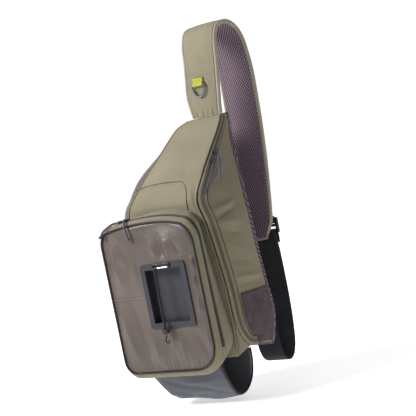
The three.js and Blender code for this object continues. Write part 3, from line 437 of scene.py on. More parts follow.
def sample(table, key, value, column):
    """A table read at any share between its rows, with slopes that never overshoot a row."""
    at = np.array(table[key], float)
    heights = np.array(table[column], float)
    slope = np.diff(heights) / np.diff(at)
    tangent = np.empty(len(at))
    tangent[0] = slope[0]
    tangent[-1] = slope[-1]
    product = slope[:-1] * slope[1:]
    total = np.where(np.abs(slope[:-1] + slope[1:]) < 1e-9, 1, slope[:-1] + slope[1:])
    tangent[1:-1] = np.where(product <= 0, 0, 2 * product / total)
    value = np.asarray(value, float)
    row = np.clip(np.searchsorted(at, value, side="left") - 1, 0, len(at) - 2)
    span = at[row + 1] - at[row]
    share = np.clip((value - at[row]) / span, 0, 1)
    square = share * share
    cube = square * share
    return (heights[row] * (2 * cube - 3 * square + 1) + tangent[row] * span * (cube - 2 * square + share)
            + heights[row + 1] * (3 * square - 2 * cube) + tangent[row + 1] * span * (cube - square))


def along(points, shares):
    """Points of a centripetal curve through the route, at shares counted by its points."""
    route = np.array(points, float)
    ends = np.vstack([2 * route[0] - route[1], route, 2 * route[-1] - route[-2]])
    place = np.clip(np.asarray(shares, float), 0, 1) * (len(route) - 1)
    index = np.clip(np.floor(place).astype(int), 0, len(route) - 2)
    weight = (place - index)[..., None]
    before, start, end, after = (ends[index + step] for step in range(4))
    first, middle, last = (np.sqrt(np.linalg.norm(b - a, axis=-1, keepdims=True))
                           for a, b in ((before, start), (start, end), (end, after)))
    leave = ((start - before) / first - (end - before) / (first + middle) + (end - start) / middle) * middle
    reach = ((end - start) / middle - (after - start) / (middle + last) + (after - end) / last) * middle
    return (start + leave * weight + (-3 * start + 3 * end - 2 * leave - reach) * weight ** 2
            + (2 * start - 2 * end + leave + reach) * weight ** 3)


def unit(vectors):
    return vectors / np.maximum(np.linalg.norm(vectors, axis=-1, keepdims=True), 1e-12)


def band_point(points, share, side, height):
    """A point of a band along a route: side across it, height towards its outer face."""
    share = np.asarray(share, float)
    ahead = along(points, np.clip(share + 1e-4, 0, 1)) - along(points, np.clip(share - 1e-4, 0, 1))
    across = np.array([1.0, 0.0, 0.0])
    outer = unit(np.cross(np.broadcast_to(across, ahead.shape), unit(ahead)))
    return (along(points, share) + across * np.asarray(side)[..., None]
            + outer * np.asarray(height)[..., None])


def grid(across, length):
    return np.meshgrid(np.linspace(0, 1, across + 1), np.linspace(0, 1, length + 1), indexing="ij")


def grid_normals(points, outward, closed=False):
    along_u = np.roll(points, -1, 0) - np.roll(points, 1, 0) if closed else np.gradient(points, axis=0)
    normal = unit(np.cross(along_u, np.gradient(points, axis=1)))
    direction = outward(points) if callable(outward) else np.array(outward, float)
    return np.where((normal * direction).sum(-1, keepdims=True) < 0, -normal, normal)


def run_lengths(points, axis):
    steps = np.linalg.norm(np.diff(points, axis=axis), axis=-1)
    zero = np.zeros_like(np.take(steps, [0], axis))
    return np.cumsum(np.concatenate([zero, steps], axis), axis)


def read_at(points, lengths, where):
    """A line read at any length along it."""
    return np.stack([np.interp(where, lengths, column) for column in points.T], -1)


def make_object(name, vertices, faces, material, uv=None, body="bag"):
    mesh = bpy.data.meshes.new(name)
    mesh.from_pydata([tuple(point) for point in metres(vertices)], [], faces)
    mesh.validate()
    if uv is not None:
        layer = mesh.uv_layers.new(name="UVMap")
        corners = np.empty(len(mesh.loops), int)
        mesh.loops.foreach_get("vertex_index", corners)
        layer.data.foreach_set("uv", (uv[corners] / 1000).ravel())
    edit = bmesh.new()
    edit.from_mesh(mesh)
    bmesh.ops.recalc_face_normals(edit, faces=edit.faces)
    edit.to_mesh(mesh)
    edit.free()
    mesh.polygons.foreach_set("use_smooth", [True] * len(mesh.polygons))
    mesh.materials.append(MATERIAL[material])
    made = add_object(name, mesh)
    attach(made, body)
    if name in STANDS_FOR:
        node, slot = STANDS_FOR[name]
        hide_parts(node)
    return made


def shell(name, outer, inner, material, closed=False):
    """A closed cloth piece between two grids of points, sewn round its border."""
    count = outer[..., 0].size
    index = np.arange(count).reshape(outer.shape[:2])
    if closed:
        index = np.vstack([index, index[:1]])
    top = np.stack([index[:-1, :-1], index[1:, :-1], index[1:, 1:], index[:-1, 1:]], -1).reshape(-1, 4)
    faces = [*top.tolist(), *(top[:, ::-1] + count).tolist()]
    for edge in (index[:, 0], index[:, -1]) + (() if closed else (index[0], index[-1])):
        faces += np.stack([edge[:-1], edge[1:], edge[1:] + count, edge[:-1] + count], -1).tolist()
    flat = np.stack([run_lengths(outer, 0), run_lengths(outer, 1)], -1).reshape(-1, 2)
    vertices = np.concatenate([outer.reshape(-1, 3), inner.reshape(-1, 3)])
    return make_object(name, vertices, faces, material, np.concatenate([flat, flat]))


def border_distance(points, closed):
    """How far each point of a grid is from the piece's border, along the cloth."""
    down = run_lengths(points, 1)
    distance = np.minimum(down, down[:, -1:] - down)
    if not closed:
        over = run_lengths(points, 0)
        distance = np.minimum(distance, np.minimum(over, over[-1:] - over))
    return distance


def cloth(name, points, wall, outward, material, lift=0.0, relief=0.0, closed=False, roll=2.5,
          hole=0.0):
    """A sewn panel over a grid of points: its border turns in, and relief, in millimetres, lifts its face."""
    normal = grid_normals(points, outward, closed)
    border = border_distance(points, closed)
    over = run_lengths(points, 0)
    down = run_lengths(points, 1)
    pucker = np.sin(0.43 * (over - down) + 2.2 * np.sin(0.061 * (over + down)))
    relief = relief + 0.3 * pucker * np.exp(-border / 7)
    turn_in = (1 - smoothstep(border, 0, roll)) * wall * 0.42
    swell = relief * smoothstep(border, 0, 2.5 * roll)
    outer = points + normal * (lift + swell - turn_in)[..., None]
    inner = points + normal * (lift + np.minimum(swell, 0) - wall + turn_in)[..., None]
    made = shell(name, outer, inner, material, closed)
    declare_sheet(outer, closed, hole)
    return made


def declare_sheet(points, closed, hole=0.0):
    """The area of cloth wider than 10 mm, less its hole, is worked out and not used; narrow tapes are skipped.
    """
    loop = np.concatenate([points, points[:1]]) if closed else points
    width = run_lengths(loop, 0)[-1].max() / 1000
    length = run_lengths(loop, 1)[:, -1].max() / 1000
    if min(width, length) < 0.01:
        return
    one = loop[1:, :-1] - loop[:-1, 1:]
    two = loop[1:, 1:] - loop[:-1, :-1]
    area = np.linalg.norm(np.cross(one, two), axis=-1).sum() / 2e6
    area = min(area, width * length) - hole


def tube_faces(steps, corners, closed=False):
    """The faces of a tube of rings: its sides, and its two ends unless it closes on itself."""
    index = np.arange(steps * corners).reshape(steps, corners)
    index = np.hstack([index, index[:, :1]])
    if closed:
        index = np.vstack([index, index[:1]])
    sides = np.stack([index[:-1, :-1], index[:-1, 1:], index[1:, 1:], index[1:, :-1]], -1)
    ends = [] if closed else [index[0, :-1].tolist(), index[-1, -2::-1].tolist()]
    return sides.reshape(-1, 4).tolist() + ends


def tube(name, rings, centre, turn, material, closed=False, body="bag"):
    """A bar from its rings, with its UV map from the centre line's length and each corner's turn."""
    steps, corners = rings.shape[:2]
    uv = np.stack([np.tile(turn, steps), np.repeat(run_lengths(centre, 0), corners)], -1)
    return make_object(name, rings.reshape(-1, 3), tube_faces(steps, corners, closed), material, uv, body)


def sweep(name, centre, section, material, closed=False, body="bag"):
    """A rounded bar along points: section gives its corners in the plane across it."""
    centre = np.asarray(centre, float)
    ahead = unit(np.roll(centre, -1, 0) - np.roll(centre, 1, 0) if closed else np.gradient(centre, axis=0))
    guide = np.array([0.0, 0.0, 1.0] if abs(ahead[0][2]) < 0.9 else [0.0, 1.0, 0.0])
    sides = []
    for direction in ahead:
        guide = unit(guide - direction * (guide @ direction))
        sides.append(guide)
    side = np.array(sides)
    third = np.cross(ahead, side)
    rings = centre[:, None] + side[:, None] * section[:, :1] + third[:, None] * section[:, 1:]
    turn = run_lengths(np.vstack([section, section[:1]]), 0)[1:]
    return tube(name, rings, centre, turn, material, closed, body)


def circle(radius, sides=12):
    angle = np.arange(sides) * 2 * math.pi / sides
    return np.stack([radius * np.cos(angle), radius * np.sin(angle)], -1)


def respaced(points, count, closed=False):
    """The same line with evenly spaced points."""
    line = np.vstack([points, points[:1]]) if closed else np.asarray(points, float)
    lengths = run_lengths(line, 0)
    spaced = read_at(line, lengths, np.linspace(0, lengths[-1], count + 1 if closed else count))
    return spaced[:-1] if closed else spaced


def curve(points, fine, count):
    return respaced(along(points, np.linspace(0, 1, fine)), count)


def stitches(name, line, normal, material="thread", stitch=3.0, space=1.6, radius=0.38):
    """A row of stitches: short thread capsules on the cloth's face."""
    lengths = run_lengths(line, 0)
    starts = np.arange(space, lengths[-1] - stitch, stitch + space)
    first, last = (read_at(line, lengths, starts + part) for part in (0, stitch))
    up = unit(read_at(np.broadcast_to(np.asarray(normal, float), line.shape), lengths, starts))
    ahead = unit(last - first)
    middle = (first + last) / 2 + up * radius * 0.4
    place = np.array([-0.5, -0.32, 0.32, 0.5])[:, None, None] * stitch
    thick = np.array([0.35, 1.0, 1.0, 0.35])[:, None, None] * radius
    angle = np.arange(6)[:, None] * math.pi / 3
    ring = np.cross(up, ahead)[:, None] * np.cos(angle) + up[:, None] * np.sin(angle)
    vertices = middle[:, None, None] + ahead[:, None, None] * place + thick * ring[:, None]
    size = len(place) * len(angle)
    capsule = tube_faces(len(place), len(angle))
    faces = [[row * size + corner for corner in face] for row in range(len(starts)) for face in capsule]
    return make_object(name, vertices.reshape(-1, 3), faces, material)


def creases(first, second, table):
    """Folds on a flat map of a panel. Each row: where it starts and ends, its width and its height."""
    total = np.zeros_like(first)
    for x0, y0, x1, y1, width, height in table:
        run = np.array([x1 - x0, y1 - y0])
        share = ((first - x0) * run[0] + (second - y0) * run[1]) / np.hypot(*run) ** 2
        near = np.clip(share, 0, 1)
        off = np.hypot(first - x0 - near * run[0], second - y0 - near * run[1])
        fade = np.sin(np.clip(share, 0.04, 0.96) * math.pi) ** 0.6
        total += height * fade * np.exp(-np.abs(off / width) ** 1.5)
    return total


# Broad waves: their steps along both directions, their shift and their share
WAVES = [
    (0.021, 0.047, 0.3, 0.5), (0.052, -0.018, 1.9, 0.3), (-0.033, 0.071, 4.2, 0.22), (0.09, 0.055, 2.6, 0.14),
]


def ripple(first, second, height, size=1.0, phase=0.0):
    """Slack in the cloth: a few broad waves that cross."""
    return height * sum(part * np.sin((first * a + second * b) / size + shift + phase)
                        for a, b, shift, part in WAVES)


# %% [markdown]
# ## Pull cords and the tippet cord
#
# Each leaves its slider or clip and hangs with a knot or its toggle and hook at the end. The routes are the
# CAD model's.

# %%
CORDS = {
    "main_pull_upper": [(90, -20.4, 361.9), (94, -24.4, 354.9), (98, -31.4, 345.9), (102, -39.4, 335.9),
                        (105, -46.4, 325.9), (106, -50.4, 316.9)],
    "main_pull_lower": [(91.4, -39.7, 345.3), (92.4, -46.7, 338.3), (93.4, -56.7, 327.3), (93.4, -66.7, 316.3),
                        (93.4, -76.7, 306.3), (92.4, -83.7, 298.3)],
    "pocket_pull_left": [(-76.8, -140.5, 273.2), (-82.8, -145.5, 272.2), (-89.8, -151.5, 268.2),
                         (-96.8, -158.5, 262.2), (-101.8, -162.5, 253.2)],
    "pocket_pull_right": [(-57, -141, 275.5), (-52, -148, 276), (-47, -155, 273.5), (-43, -161, 265),
                          (-39.5, -164, 253), (-37, -164, 242)],
    "tippet_cord": [(8, -164.9, 182.6), (8.4, -165, 175), (8.6, -165.4, 160), (8.2, -166, 140), (8, -167, 120),
                    (8.5, -168, 100), (9.5, -169, 86), (10, -169.6, 77)],
}
PULL_CORD = 4.0
TIPPET_CORD = 4.6
STANDS_FOR.update({name: (name, "cord") for name in CORDS})


def knot(name, centre, ahead):
    """An overhand knot: a short fat coil of one and a half turns round the cord's end."""
    turns = np.linspace(0, 3 * math.pi, 40)
    ahead = unit(np.asarray(ahead, float))
    side = unit(np.cross(ahead, (0.3, 1, 0.2)))
    third = np.cross(ahead, side)
    line = (np.asarray(centre, float) + np.outer(np.linspace(-1.7, 1.7, 40), ahead)
            + 1.5 * (np.outer(np.cos(turns), side) + np.outer(np.sin(turns), third)))
    return sweep(name, line, circle(1.75, 10), "cord")


def declare_cord(line):
    run_lengths(line, 0)[-1] / 1000


for name in [key for key in CORDS if "_pull_" in key]:
    line = curve(CORDS[name], 120, 40)
    pull = sweep(name, line, circle(PULL_CORD / 2, 12), "cord")
    end = knot(name + "_knot", line[-1], line[-1] - line[-3])
    declare_cord(line)

PANEL_Y = -BODY_DEPTH - POCKET_DEPTH
PANEL_FRONT = PANEL_Y - POCKET_CROWN
FLANGE_FRONT = PANEL_FRONT - SEAM_GAP - FLANGE_THICK
CLIP = {"x": 23.0, "z": 188.0, "wide": 40.0, "tall": 9.0, "wire": 1.3}
CLIP_Y = FLANGE_FRONT - SEAM_GAP - CLIP["wire"]

line = curve(CORDS["tippet_cord"], 160, 48)
tippet = sweep("tippet_cord", line, circle(TIPPET_CORD / 2, 12) * (1, 0.62), "cord_black")
hook_top = np.array(CORDS["tippet_cord"][-1]) - (0, 0, 2 * SEAM_GAP + 8)
hook_route = hook_top + [(0, 0, 0), (-1, 0, -6), (-4, 0, -12), (-2.5, 0, -17), (2, 0, -17), (3.5, 0, -12)]
hook = sweep("tippet_hook", along(hook_route, np.linspace(0, 1, 60)), circle(1.4, 12), "wire")
declare_cord(line)

# %% [markdown]
# ## Main compartment

# %%
def body_at(up):
    """The four corners of the compartment's section, at a share of its height."""
    up = np.asarray(up, float)
    corners = {}
    for face, half in (("front", FRONT_HALF), ("back", BACK_HALF)):
        y = BODY_DEPTH * sample(BODY, "up", up, face + "_y")
        for hand in ("_left", "_right"):
            x = half * sample(BODY, "up", up, face + hand)
            corners[face + hand] = np.stack([x, y, BODY_HEIGHT * up], -1)
    return corners


def between(first, second, share):
    return first + (second - first) * np.asarray(share)[..., None]


def front_face(u, up):
    corner = body_at(up)
    points = between(corner["front_left"], corner["front_right"], u)
    swell = FRONT_CROWN * 4 * u * (1 - u) * smoothstep(up, CROWN_START, 0.8) * (1 - smoothstep(up, 0.85, 1))
    points[..., 1] -= swell
    return points


def back_face(u, up):
    corner = body_at(up)
    return between(corner["back_left"], corner["back_right"], u)


def side_face(front, rear, swell, s, up, free):
    across = rear - front
    outward = unit(np.stack([np.sign(swell) * np.abs(across[..., 1]), -np.sign(swell) * across[..., 0],
                             np.zeros_like(s)], -1))
    full = np.sin(math.pi * np.clip(s, 0, 1))
    bulge = np.sin(math.pi * free) ** 0.6 if swell < 0 else full
    lean = 1 - smoothstep(up, 0.8 if swell < 0 else 0.55, 1)
    arch = BASE_ARCH * full * (1 - smoothstep(up * BODY_HEIGHT, 0, BASE_ARCH_REACH))
    out = abs(swell) * bulge * lean * (0.35 + 0.65 * smoothstep(up, 0, 0.3))
    points = between(front, rear, s) + outward * out[..., None]
    points[..., 2] += arch
    return points


def right_face(s, up):
    corner = body_at(up)
    return side_face(corner["front_right"], corner["back_right"], SIDE_BULGE, s, up, s)


def left_face(s, up):
    corner = body_at(up)
    start, end = side_range(up)
    free = np.clip((s - start) / (end - start), 0, 1)
    return side_face(corner["front_left"], corner["back_left"], -LEFT_BULGE, s, up, free)


def side_range(up):
    """The share of a side wall that is free between the front and back panels."""
    step = 0.01
    high = np.minimum(up + step, 1)
    low = np.maximum(up - step, 0)
    rise = BODY_HEIGHT * (high - low)
    here = body_at(up)
    upper = body_at(high)
    lower = body_at(low)
    front_slope = (upper["front_right"][..., 1] - lower["front_right"][..., 1]) / rise
    back_slope = (upper["back_right"][..., 1] - lower["back_right"][..., 1]) / rise
    depth = here["back_right"][..., 1] - here["front_right"][..., 1]
    return ((WALL * np.hypot(1, front_slope) + SEAM_GAP) / depth,
            1 - (PAD_WALL * np.hypot(1, back_slope) + SIDE_EASE) / depth)


# %% [markdown]
# Front: the upper part shows a sewn stash pocket and a dent beside the zip.

# %%
u, up = grid(110, 200)
points = front_face(u, up)
folds = creases(points[..., 0], points[..., 2], [
    (72, 308, 86, 236, 7, -4.2), (60, 312, 78, 262, 6, 2.6), (84, 292, 96, 262, 5, 2.4),
    (-60, 300, -10, 262, 12, 1.2), (-40, 352, 20, 372, 16, 1.0), (-20, 405, 40, 392, 10, -0.8),
    (20, 340, 52, 300, 9, 1.0), (-70, 276, 60, 270, 8, -1.4),
])
cloth("main_front", points, WALL, (0, -1, 0.4), "khaki",
      relief=folds + ripple(points[..., 0], points[..., 2], 0.7, 1.4))

up = np.linspace(0.012, 0.996, 240)
for hand, move in (("left", 0.7), ("right", -0.7)):
    sweep("welt_" + hand, body_at(up)["front_" + hand] + (move, -0.5, 0), circle(1.3, 10), "khaki")


def on_front(line, proud):
    """Points dropped onto the front panel along Y, standing proud of it."""
    up = line[:, 2] / BODY_HEIGHT
    corner = body_at(up)
    left = corner["front_left"][:, 0]
    share = (line[:, 0] - left) / (corner["front_right"][:, 0] - left)
    return np.stack([line[:, 0], front_face(np.clip(share, 0, 1), up)[:, 1] - proud, line[:, 2]], -1)


stash = curve([
    (-72, -72, 322), (-45, -71.5, 326.5), (-14, -71.6, 327.4), (20, -72.6, 326), (40, -74.8, 322.5),
    (52, -84, 309), (57, -93, 292), (57, -98.3, 272), (52, -98.3, 256), (48, -98.3, 246),
], 160, 120)
# The dark cord along the stash pocket's seam is painted shade in the seam's groove.
sweep("stash_seam_shade", on_front(stash, 0.5), circle(0.5, 8) * (1.0, 1.4), "thread_dark")
stitches("stash_stitches", on_front(stash + (4, 0, -3.5), 0.75), (0, -1, 0.3))

# %% [markdown]
# Back: a padded mesh panel with sewn channels that let air through.

# %%
u, up = grid(90, 150)
points = back_face(u, up)
channel = creases(points[..., 0], points[..., 2], [
    (0, 30, 4, 250, 7, -4.5), (-110, 200, -14, 168, 6, -3.8), (110, 200, 18, 168, 6, -3.8),
    (-112, 110, -14, 86, 6, -3.8), (112, 110, 16, 86, 6, -3.8), (-70, 300, 78, 300, 6, -3.5),
])
normal = grid_normals(points, (0, 1, 0))
border = border_distance(points, False)
puff = 2.2 * smoothstep(border, 0, 22) + channel - 3.2 * (1 - smoothstep(border, 0, 5))
pad = shell("back_pad", points + normal * puff[..., None],
            points - normal * (PAD_WALL - 2.6 * (1 - smoothstep(border, 0, 4)))[..., None], "mesh")

# %% [markdown]
# Sides: the right one has sharp folds at the pocket's height and one above the fly patch.

# %%
s, up = grid(70, 200)
low_share, high_share = side_range(up)
share = low_share + (high_share - low_share) * s
depth = share * BODY_DEPTH
points = right_face(share, up)
folds = creases(depth, points[..., 2], [
    (18, 260, 70, 274, 5, 5.0), (20, 248, 64, 262, 4.5, -4.4), (22, 240, 68, 236, 6, 3.6),
    (24, 226, 74, 210, 7, -2.6), (26, 205, 64, 178, 10, 2.6), (22, 140, 88, 132, 5, 3.2),
    (22, 126, 88, 122, 5, -2.6), (50, 335, 76, 235, 10, -2.6), (28, 312, 54, 352, 7, 2.0),
    (74, 225, 84, 140, 9, 2.2), (24, 172, 76, 160, 7, -1.8), (34, 300, 66, 282, 6, 1.8),
])
cloth("side_right", points, WALL, (1, 0, 0), "khaki",
      relief=folds + ripple(depth, points[..., 2], 0.8, 0.9))

points = left_face(share, up)
folds = creases(depth, points[..., 2], [
    (12, 300, 80, 330, 10, -2.5), (14, 240, 84, 200, 12, 2.4), (14, 150, 84, 170, 10, -2.2),
    (16, 90, 80, 60, 12, 2.0),
])
cloth("side_left", points, WALL, (-1, 0, 0), "coated",
      relief=folds + ripple(depth, points[..., 2], 1.4, 0.9, 2))

start, end = side_range(np.array(0.0))
u, v = grid(50, 30)
s = start + 0.004 + (end - start - 0.008) * v
inset = np.array([WALL + SEAM_GAP + 0.6, 0, 0])
points = between(left_face(s, np.zeros_like(s)) + inset, right_face(s, np.zeros_like(s)) - inset, u)
cloth("base", points, WALL, (0, 0, -1), "khaki",
      relief=ripple(points[..., 0], points[..., 1], 0.5))

corner = body_at(np.array(1.0))
u, v = grid(30, 10)
yoke_front = corner["front_left"][1] + WALL * 1.9 + SEAM_GAP
yoke_back = corner["back_left"][1] - PAD_WALL * 1.3 - SEAM_GAP
yoke_left = corner["front_left"][0] + WALL + 1.4
yoke_right = corner["front_right"][0] - WALL - 1.4
points = np.stack([yoke_left + (yoke_right - yoke_left) * u, yoke_front + (yoke_back - yoke_front) * v,
                   np.full_like(u, BODY_HEIGHT - 0.4)], -1)
cloth("yoke", points, WALL, (0, 0, 1), "khaki", roll=1.5)

# %% [markdown]
# Main zip: a ribbed strip with a coil on its middle, and painted shade as dark cords on its two seams.

# %%
TURN_LENGTH = math.hypot(ZIP_TURN_HEIGHT - ZIP_FOOT, ZIP_TURN_DEPTH) * 1.12
STRAIGHT = BODY_HEIGHT - ZIP_TOP_SPACE - ZIP_TURN_HEIGHT


def zip_centre(v):
    run = v * (STRAIGHT + TURN_LENGTH)
    near = WALL + SEAM_GAP + ZIP_STRIP_WIDTH / 2
    angle = np.clip((run - STRAIGHT) / TURN_LENGTH, 0, 1) * math.pi / 2
    straight_z = BODY_HEIGHT - ZIP_TOP_SPACE - run
    turned_z = ZIP_TURN_HEIGHT - (ZIP_TURN_HEIGHT - ZIP_FOOT - ZIP_STRIP_WIDTH / 2) * np.sin(angle)
    return np.where(run < STRAIGHT, straight_z, turned_z), near + ZIP_TURN_DEPTH * (1 - np.cos(angle)), angle


def side_width(corner):
    return np.hypot(corner["back_right"][..., 0] - corner["front_right"][..., 0],
                    corner["back_right"][..., 1] - corner["front_right"][..., 1])


def on_right_side(distance, z):
    up = z / BODY_HEIGHT
    points = right_face(distance / side_width(body_at(up)), up)
    points[..., 2] = z + (points[..., 2] - z) * 0.5
    return points


def zip_face(offset, v):
    z, distance, angle = zip_centre(v)
    return on_right_side(distance + offset * np.cos(angle), z + offset * np.sin(angle))


ZIP_LIFT = LAY_GAP + ZIP_TAPE
COIL_LIFT = ZIP_LIFT + SEAM_GAP + ZIP_COIL_HEIGHT
u, v = grid(16, 260)
offset = (u - 0.5) * ZIP_STRIP_WIDTH
lips = 1.1 * np.exp(-((np.abs(offset) - 4.6) / 1.6) ** 2)
cloth("zip_strip", zip_face(offset, v), ZIP_TAPE, (1, 0, 0), "khaki_zip", lift=ZIP_LIFT, relief=lips,
      roll=1.0)
u, v = grid(8, 260)
cloth("zip_coil", zip_face((u - 0.5) * ZIP_COIL_WIDTH, v), ZIP_COIL_HEIGHT, (1, 0, 0), "zip_olive",
      lift=COIL_LIFT, roll=0.8)
v = np.linspace(0.004, 0.996, 260)
# Thin dark cords along the strip's two seams: painted shade in the seams' grooves.
for name, place in (("zip_seam_shade_front", -0.5), ("zip_seam_shade_rear", 0.5)):
    edge = zip_face(np.full_like(v, place * (ZIP_STRIP_WIDTH + 0.9)), v) + (1.5, 0, 0)
    sweep(name, edge, circle(0.5, 8), "thread_dark")

centre_z, centre_back, angle = zip_centre(np.linspace(0, 1, 121))
half = ZIP_STRIP_WIDTH / 2 + FLY_PATCH_GAP
edge_back = centre_back + half * np.cos(angle) + FLY_PATCH_GAP
edge_z = centre_z + half * np.sin(angle)
patch_foot = ZIP_FOOT + 2
u, v = grid(40, 60)
z = patch_foot + (FLY_PATCH_TOP - patch_foot) * v
near = np.interp(-z, -edge_z, edge_back)
far = side_width(body_at(z / BODY_HEIGHT)) - PAD_WALL - SIDE_EASE
points = on_right_side(near + (far - near) * u, z)
cloth("fleece_patch", points, FLY_PATCH_THICK, (1, 0, 0), "fleece", lift=LAY_GAP + FLY_PATCH_THICK,
      relief=ripple(points[..., 1], points[..., 2], 0.7, 0.35))

# %% [markdown]
# ## Front pocket

# %%
def bezier(a, b, c, d, count=14):
    t = np.linspace(0, 1, count)[1:, None]
    a, b, c, d = (np.array(point, float) for point in (a, b, c, d))
    return a * (1 - t) ** 3 + 3 * b * t * (1 - t) ** 2 + 3 * c * t * t * (1 - t) + d * t ** 3


OUTLINES = {}


def outline(depth):
    """The pocket's outline at a depth, as evenly spaced points from the middle of its lower edge."""
    key = round(float(depth), 4)
    if key in OUTLINES:
        return OUTLINES[key]
    left, right, top_left, top_right = (POCKET_HALF * sample(POCKET, "depth", depth, column)
                                        for column in ("left", "right", "top_left", "top_right"))
    low, edge, crest = (POCKET_TOP * sample(POCKET, "depth", depth, column)
                        for column in ("low", "edge", "crest"))
    top, small, corner_left, corner_right = (
        POCKET_HALF * sample(POCKET, "depth", depth, column)
        for column in ("corner_top", "corner_top_left", "corner_left", "corner_right"))
    shoulder = edge + (crest - edge) * 0.45
    line = np.vstack([
        [(0, low), (right - corner_right, low)],
        bezier((right - corner_right, low), (right - corner_right * 0.42, low),
               (right, low + corner_right * 0.42), (right, low + corner_right)),
        [(top_right, edge - top)],
        bezier((top_right, edge - top), (top_right, edge - top * 0.42),
               (top_right - top * 0.42, shoulder), (top_right - top, shoulder)),
        bezier((top_right - top, shoulder), (top_right * 0.4, crest), (top_left * 0.4, crest),
               (top_left + small, shoulder), 40),
        bezier((top_left + small, shoulder), (top_left + small * 0.42, shoulder),
               (top_left, edge - small * 0.42), (top_left, edge - small)),
        [(left, low + corner_left)],
        bezier((left, low + corner_left), (left, low + corner_left * 0.42), (left + corner_left * 0.42, low),
               (left + corner_left, low)),
        [(0, low)],
    ])
    OUTLINES[key] = respaced(line, 417)
    return OUTLINES[key]


def pocket_wall(turn, depth, level):
    """A point on the pocket's wall, turn round the outline, moved in by level."""
    turn, depth, level = np.broadcast_arrays(*(np.asarray(value, float) for value in (turn, depth, level)))
    made = np.empty((*turn.shape, 3))
    for value in np.unique(np.round(depth, 5)):
        pick = np.isclose(depth, value, atol=1e-5)
        line = outline(value)
        here, before, after = (read_at(line, np.linspace(0, 1, len(line)), (turn[pick] + shift) % 1)
                               for shift in (0, -0.011, 0.011))
        tangent = unit(after - before)
        made[pick] = np.stack([here[:, 0] - tangent[:, 1] * level[pick],
                               np.full(pick.sum(), -BODY_DEPTH - POCKET_DEPTH * value),
                               here[:, 1] + tangent[:, 0] * level[pick]], -1)
    return made


def from_middle(points):
    return points * (1, 0, 1) - (0, 0, POCKET_TOP / 2)


def pocket_band(name, low, high, material, relief=None, turns=None, rows=12, steps=320, roll=2.0):
    closed = turns is None
    turn = np.arange(steps) / steps if closed else np.linspace(*turns, steps)
    turn, v = np.meshgrid(turn, np.linspace(0, 1, rows + 1), indexing="ij")
    points = pocket_wall(turn, np.round(low + (high - low) * v, 5), 0)
    cloth(name, points, WALL, from_middle, material, relief=relief(v, points) if relief else 0.0,
          closed=closed, roll=roll)


seam_share = SEAM_GAP / POCKET_DEPTH
rim_back = RIM_FRONT - RIM_WIDTH / POCKET_DEPTH
zip_back = rim_back - seam_share - POCKET_ZIP_WIDTH / POCKET_DEPTH


def boxing_folds(v, points):
    gather = 0.5 * np.sin(points[..., 2] * 0.31 + 3 * v) * (1 - v)
    return gather + creases(v * 34, points[..., 2], [
        (2, 200, 30, 176, 6, -1.6), (2, 120, 30, 100, 6, -1.4), (4, 60, 30, 30, 7, 1.4),
        (2, 240, 26, 232, 5, 1.2),
    ])


pocket_band("rim", rim_back, RIM_FRONT, "khaki", lambda v, points: 0.9 * np.sin(math.pi * v))
pocket_band("boxing", seam_share, zip_back - seam_share, "khaki", boxing_folds, rows=20)
pocket_band("pocket_zip_band", zip_back, rim_back - seam_share, "zip_black",
            lambda v, points: 0.7 * np.exp(-((v - 0.5) / 0.14) ** 2),
            (POCKET_ZIP_TURN, 1 - POCKET_ZIP_TURN), roll=1.0)
pocket_band("bottom_band", zip_back, rim_back - seam_share, "khaki",
            turns=(POCKET_ZIP_TURN - 0.002 - 1, -POCKET_ZIP_TURN + 0.002 - 1), steps=100, roll=1.5)

piping_line = pocket_wall(np.arange(360) / 360, 1.0, PIPING_RADIUS + 0.2) - (0, PIPING_RADIUS + 0.2, 0)
sweep("piping", piping_line, circle(PIPING_RADIUS, 12), "zip_black", closed=True)

# %% [markdown]
# The coated front: crowned at its edge, dented round the dock, gathered along its lower edge, with one sewn
# line at half height.

# %%
HOLE = {
    "left": DOCK["x"] - DOCK["wide"] / 2 + DOCK["flange"] - TRAY_WALL - SEAM_GAP,
    "right": DOCK["x"] + DOCK["wide"] / 2 - DOCK["flange"] + TRAY_WALL + SEAM_GAP,
    "low": DOCK["z"] - DOCK["tall"] / 2 + DOCK["flange"] - TRAY_WALL - SEAM_GAP,
    "high": DOCK["z"] + DOCK["tall"] / 2 - DOCK["flange"] + TRAY_WALL + SEAM_GAP,
}
a, b = grid(150, 180)
a = 2 * a - 1
b = 2 * b - 1
reach = np.maximum(np.abs(a), np.abs(b))
safe = np.where(reach == 0, 1, reach)
along_x = np.where(reach == 0, 0, a / safe)
along_z = np.where(reach == 0, 0, b / safe)
turn = np.select([along_z <= -0.9999, along_x >= 0.9999, along_z >= 0.9999],
                 [along_x / 8, 0.25 + along_z / 8, 0.5 - along_x / 8], 0.75 - along_z / 8)
edge = pocket_wall(turn, np.ones_like(turn), PANEL_INSET)
middle = np.array([0, 0, POCKET_TOP * 0.49])
points = middle + (edge - middle) * reach[..., None]
points[..., 1] = PANEL_Y - POCKET_CROWN * smoothstep((1 - reach) / CROWN_SHARE)
x = points[..., 0]
z = points[..., 2]
folds = creases(x, z, [
    (2, 236, 14, 200, 7, 2.4), (20, 240, 30, 200, 6, -2.6), (36, 236, 42, 198, 7, 2.6),
    (54, 234, 66, 200, 6, -1.8), (87, 200, 88, 172, 4.5, 2.6), (84, 166, 85, 138, 4.5, 2.4),
    (86, 128, 84, 96, 5, 1.8), (79, 190, 80, 120, 3, -1.4), (-92, 232, -74, 150, 9, 1.8),
    (-70, 240, -52, 150, 10, -1.6), (-46, 232, -40, 170, 9, 1.2), (-96, 120, -70, 14, 9, 1.6),
    (-60, 124, -44, 20, 10, -1.5), (-34, 84, -20, 6, 9, 1.5), (0, 70, 6, 6, 9, -1.4),
    (30, 70, 36, 8, 9, 1.4), (64, 74, 84, 16, 9, -2.0), (88, 70, 90, 30, 5, 1.6),
    (-104, 135.8, -34, 133.6, 1.3, -0.9),
])
seam_fade = 1 - smoothstep(1 - reach, 0.05, 0.34)
lower = 1 - smoothstep(z, 4, 46)
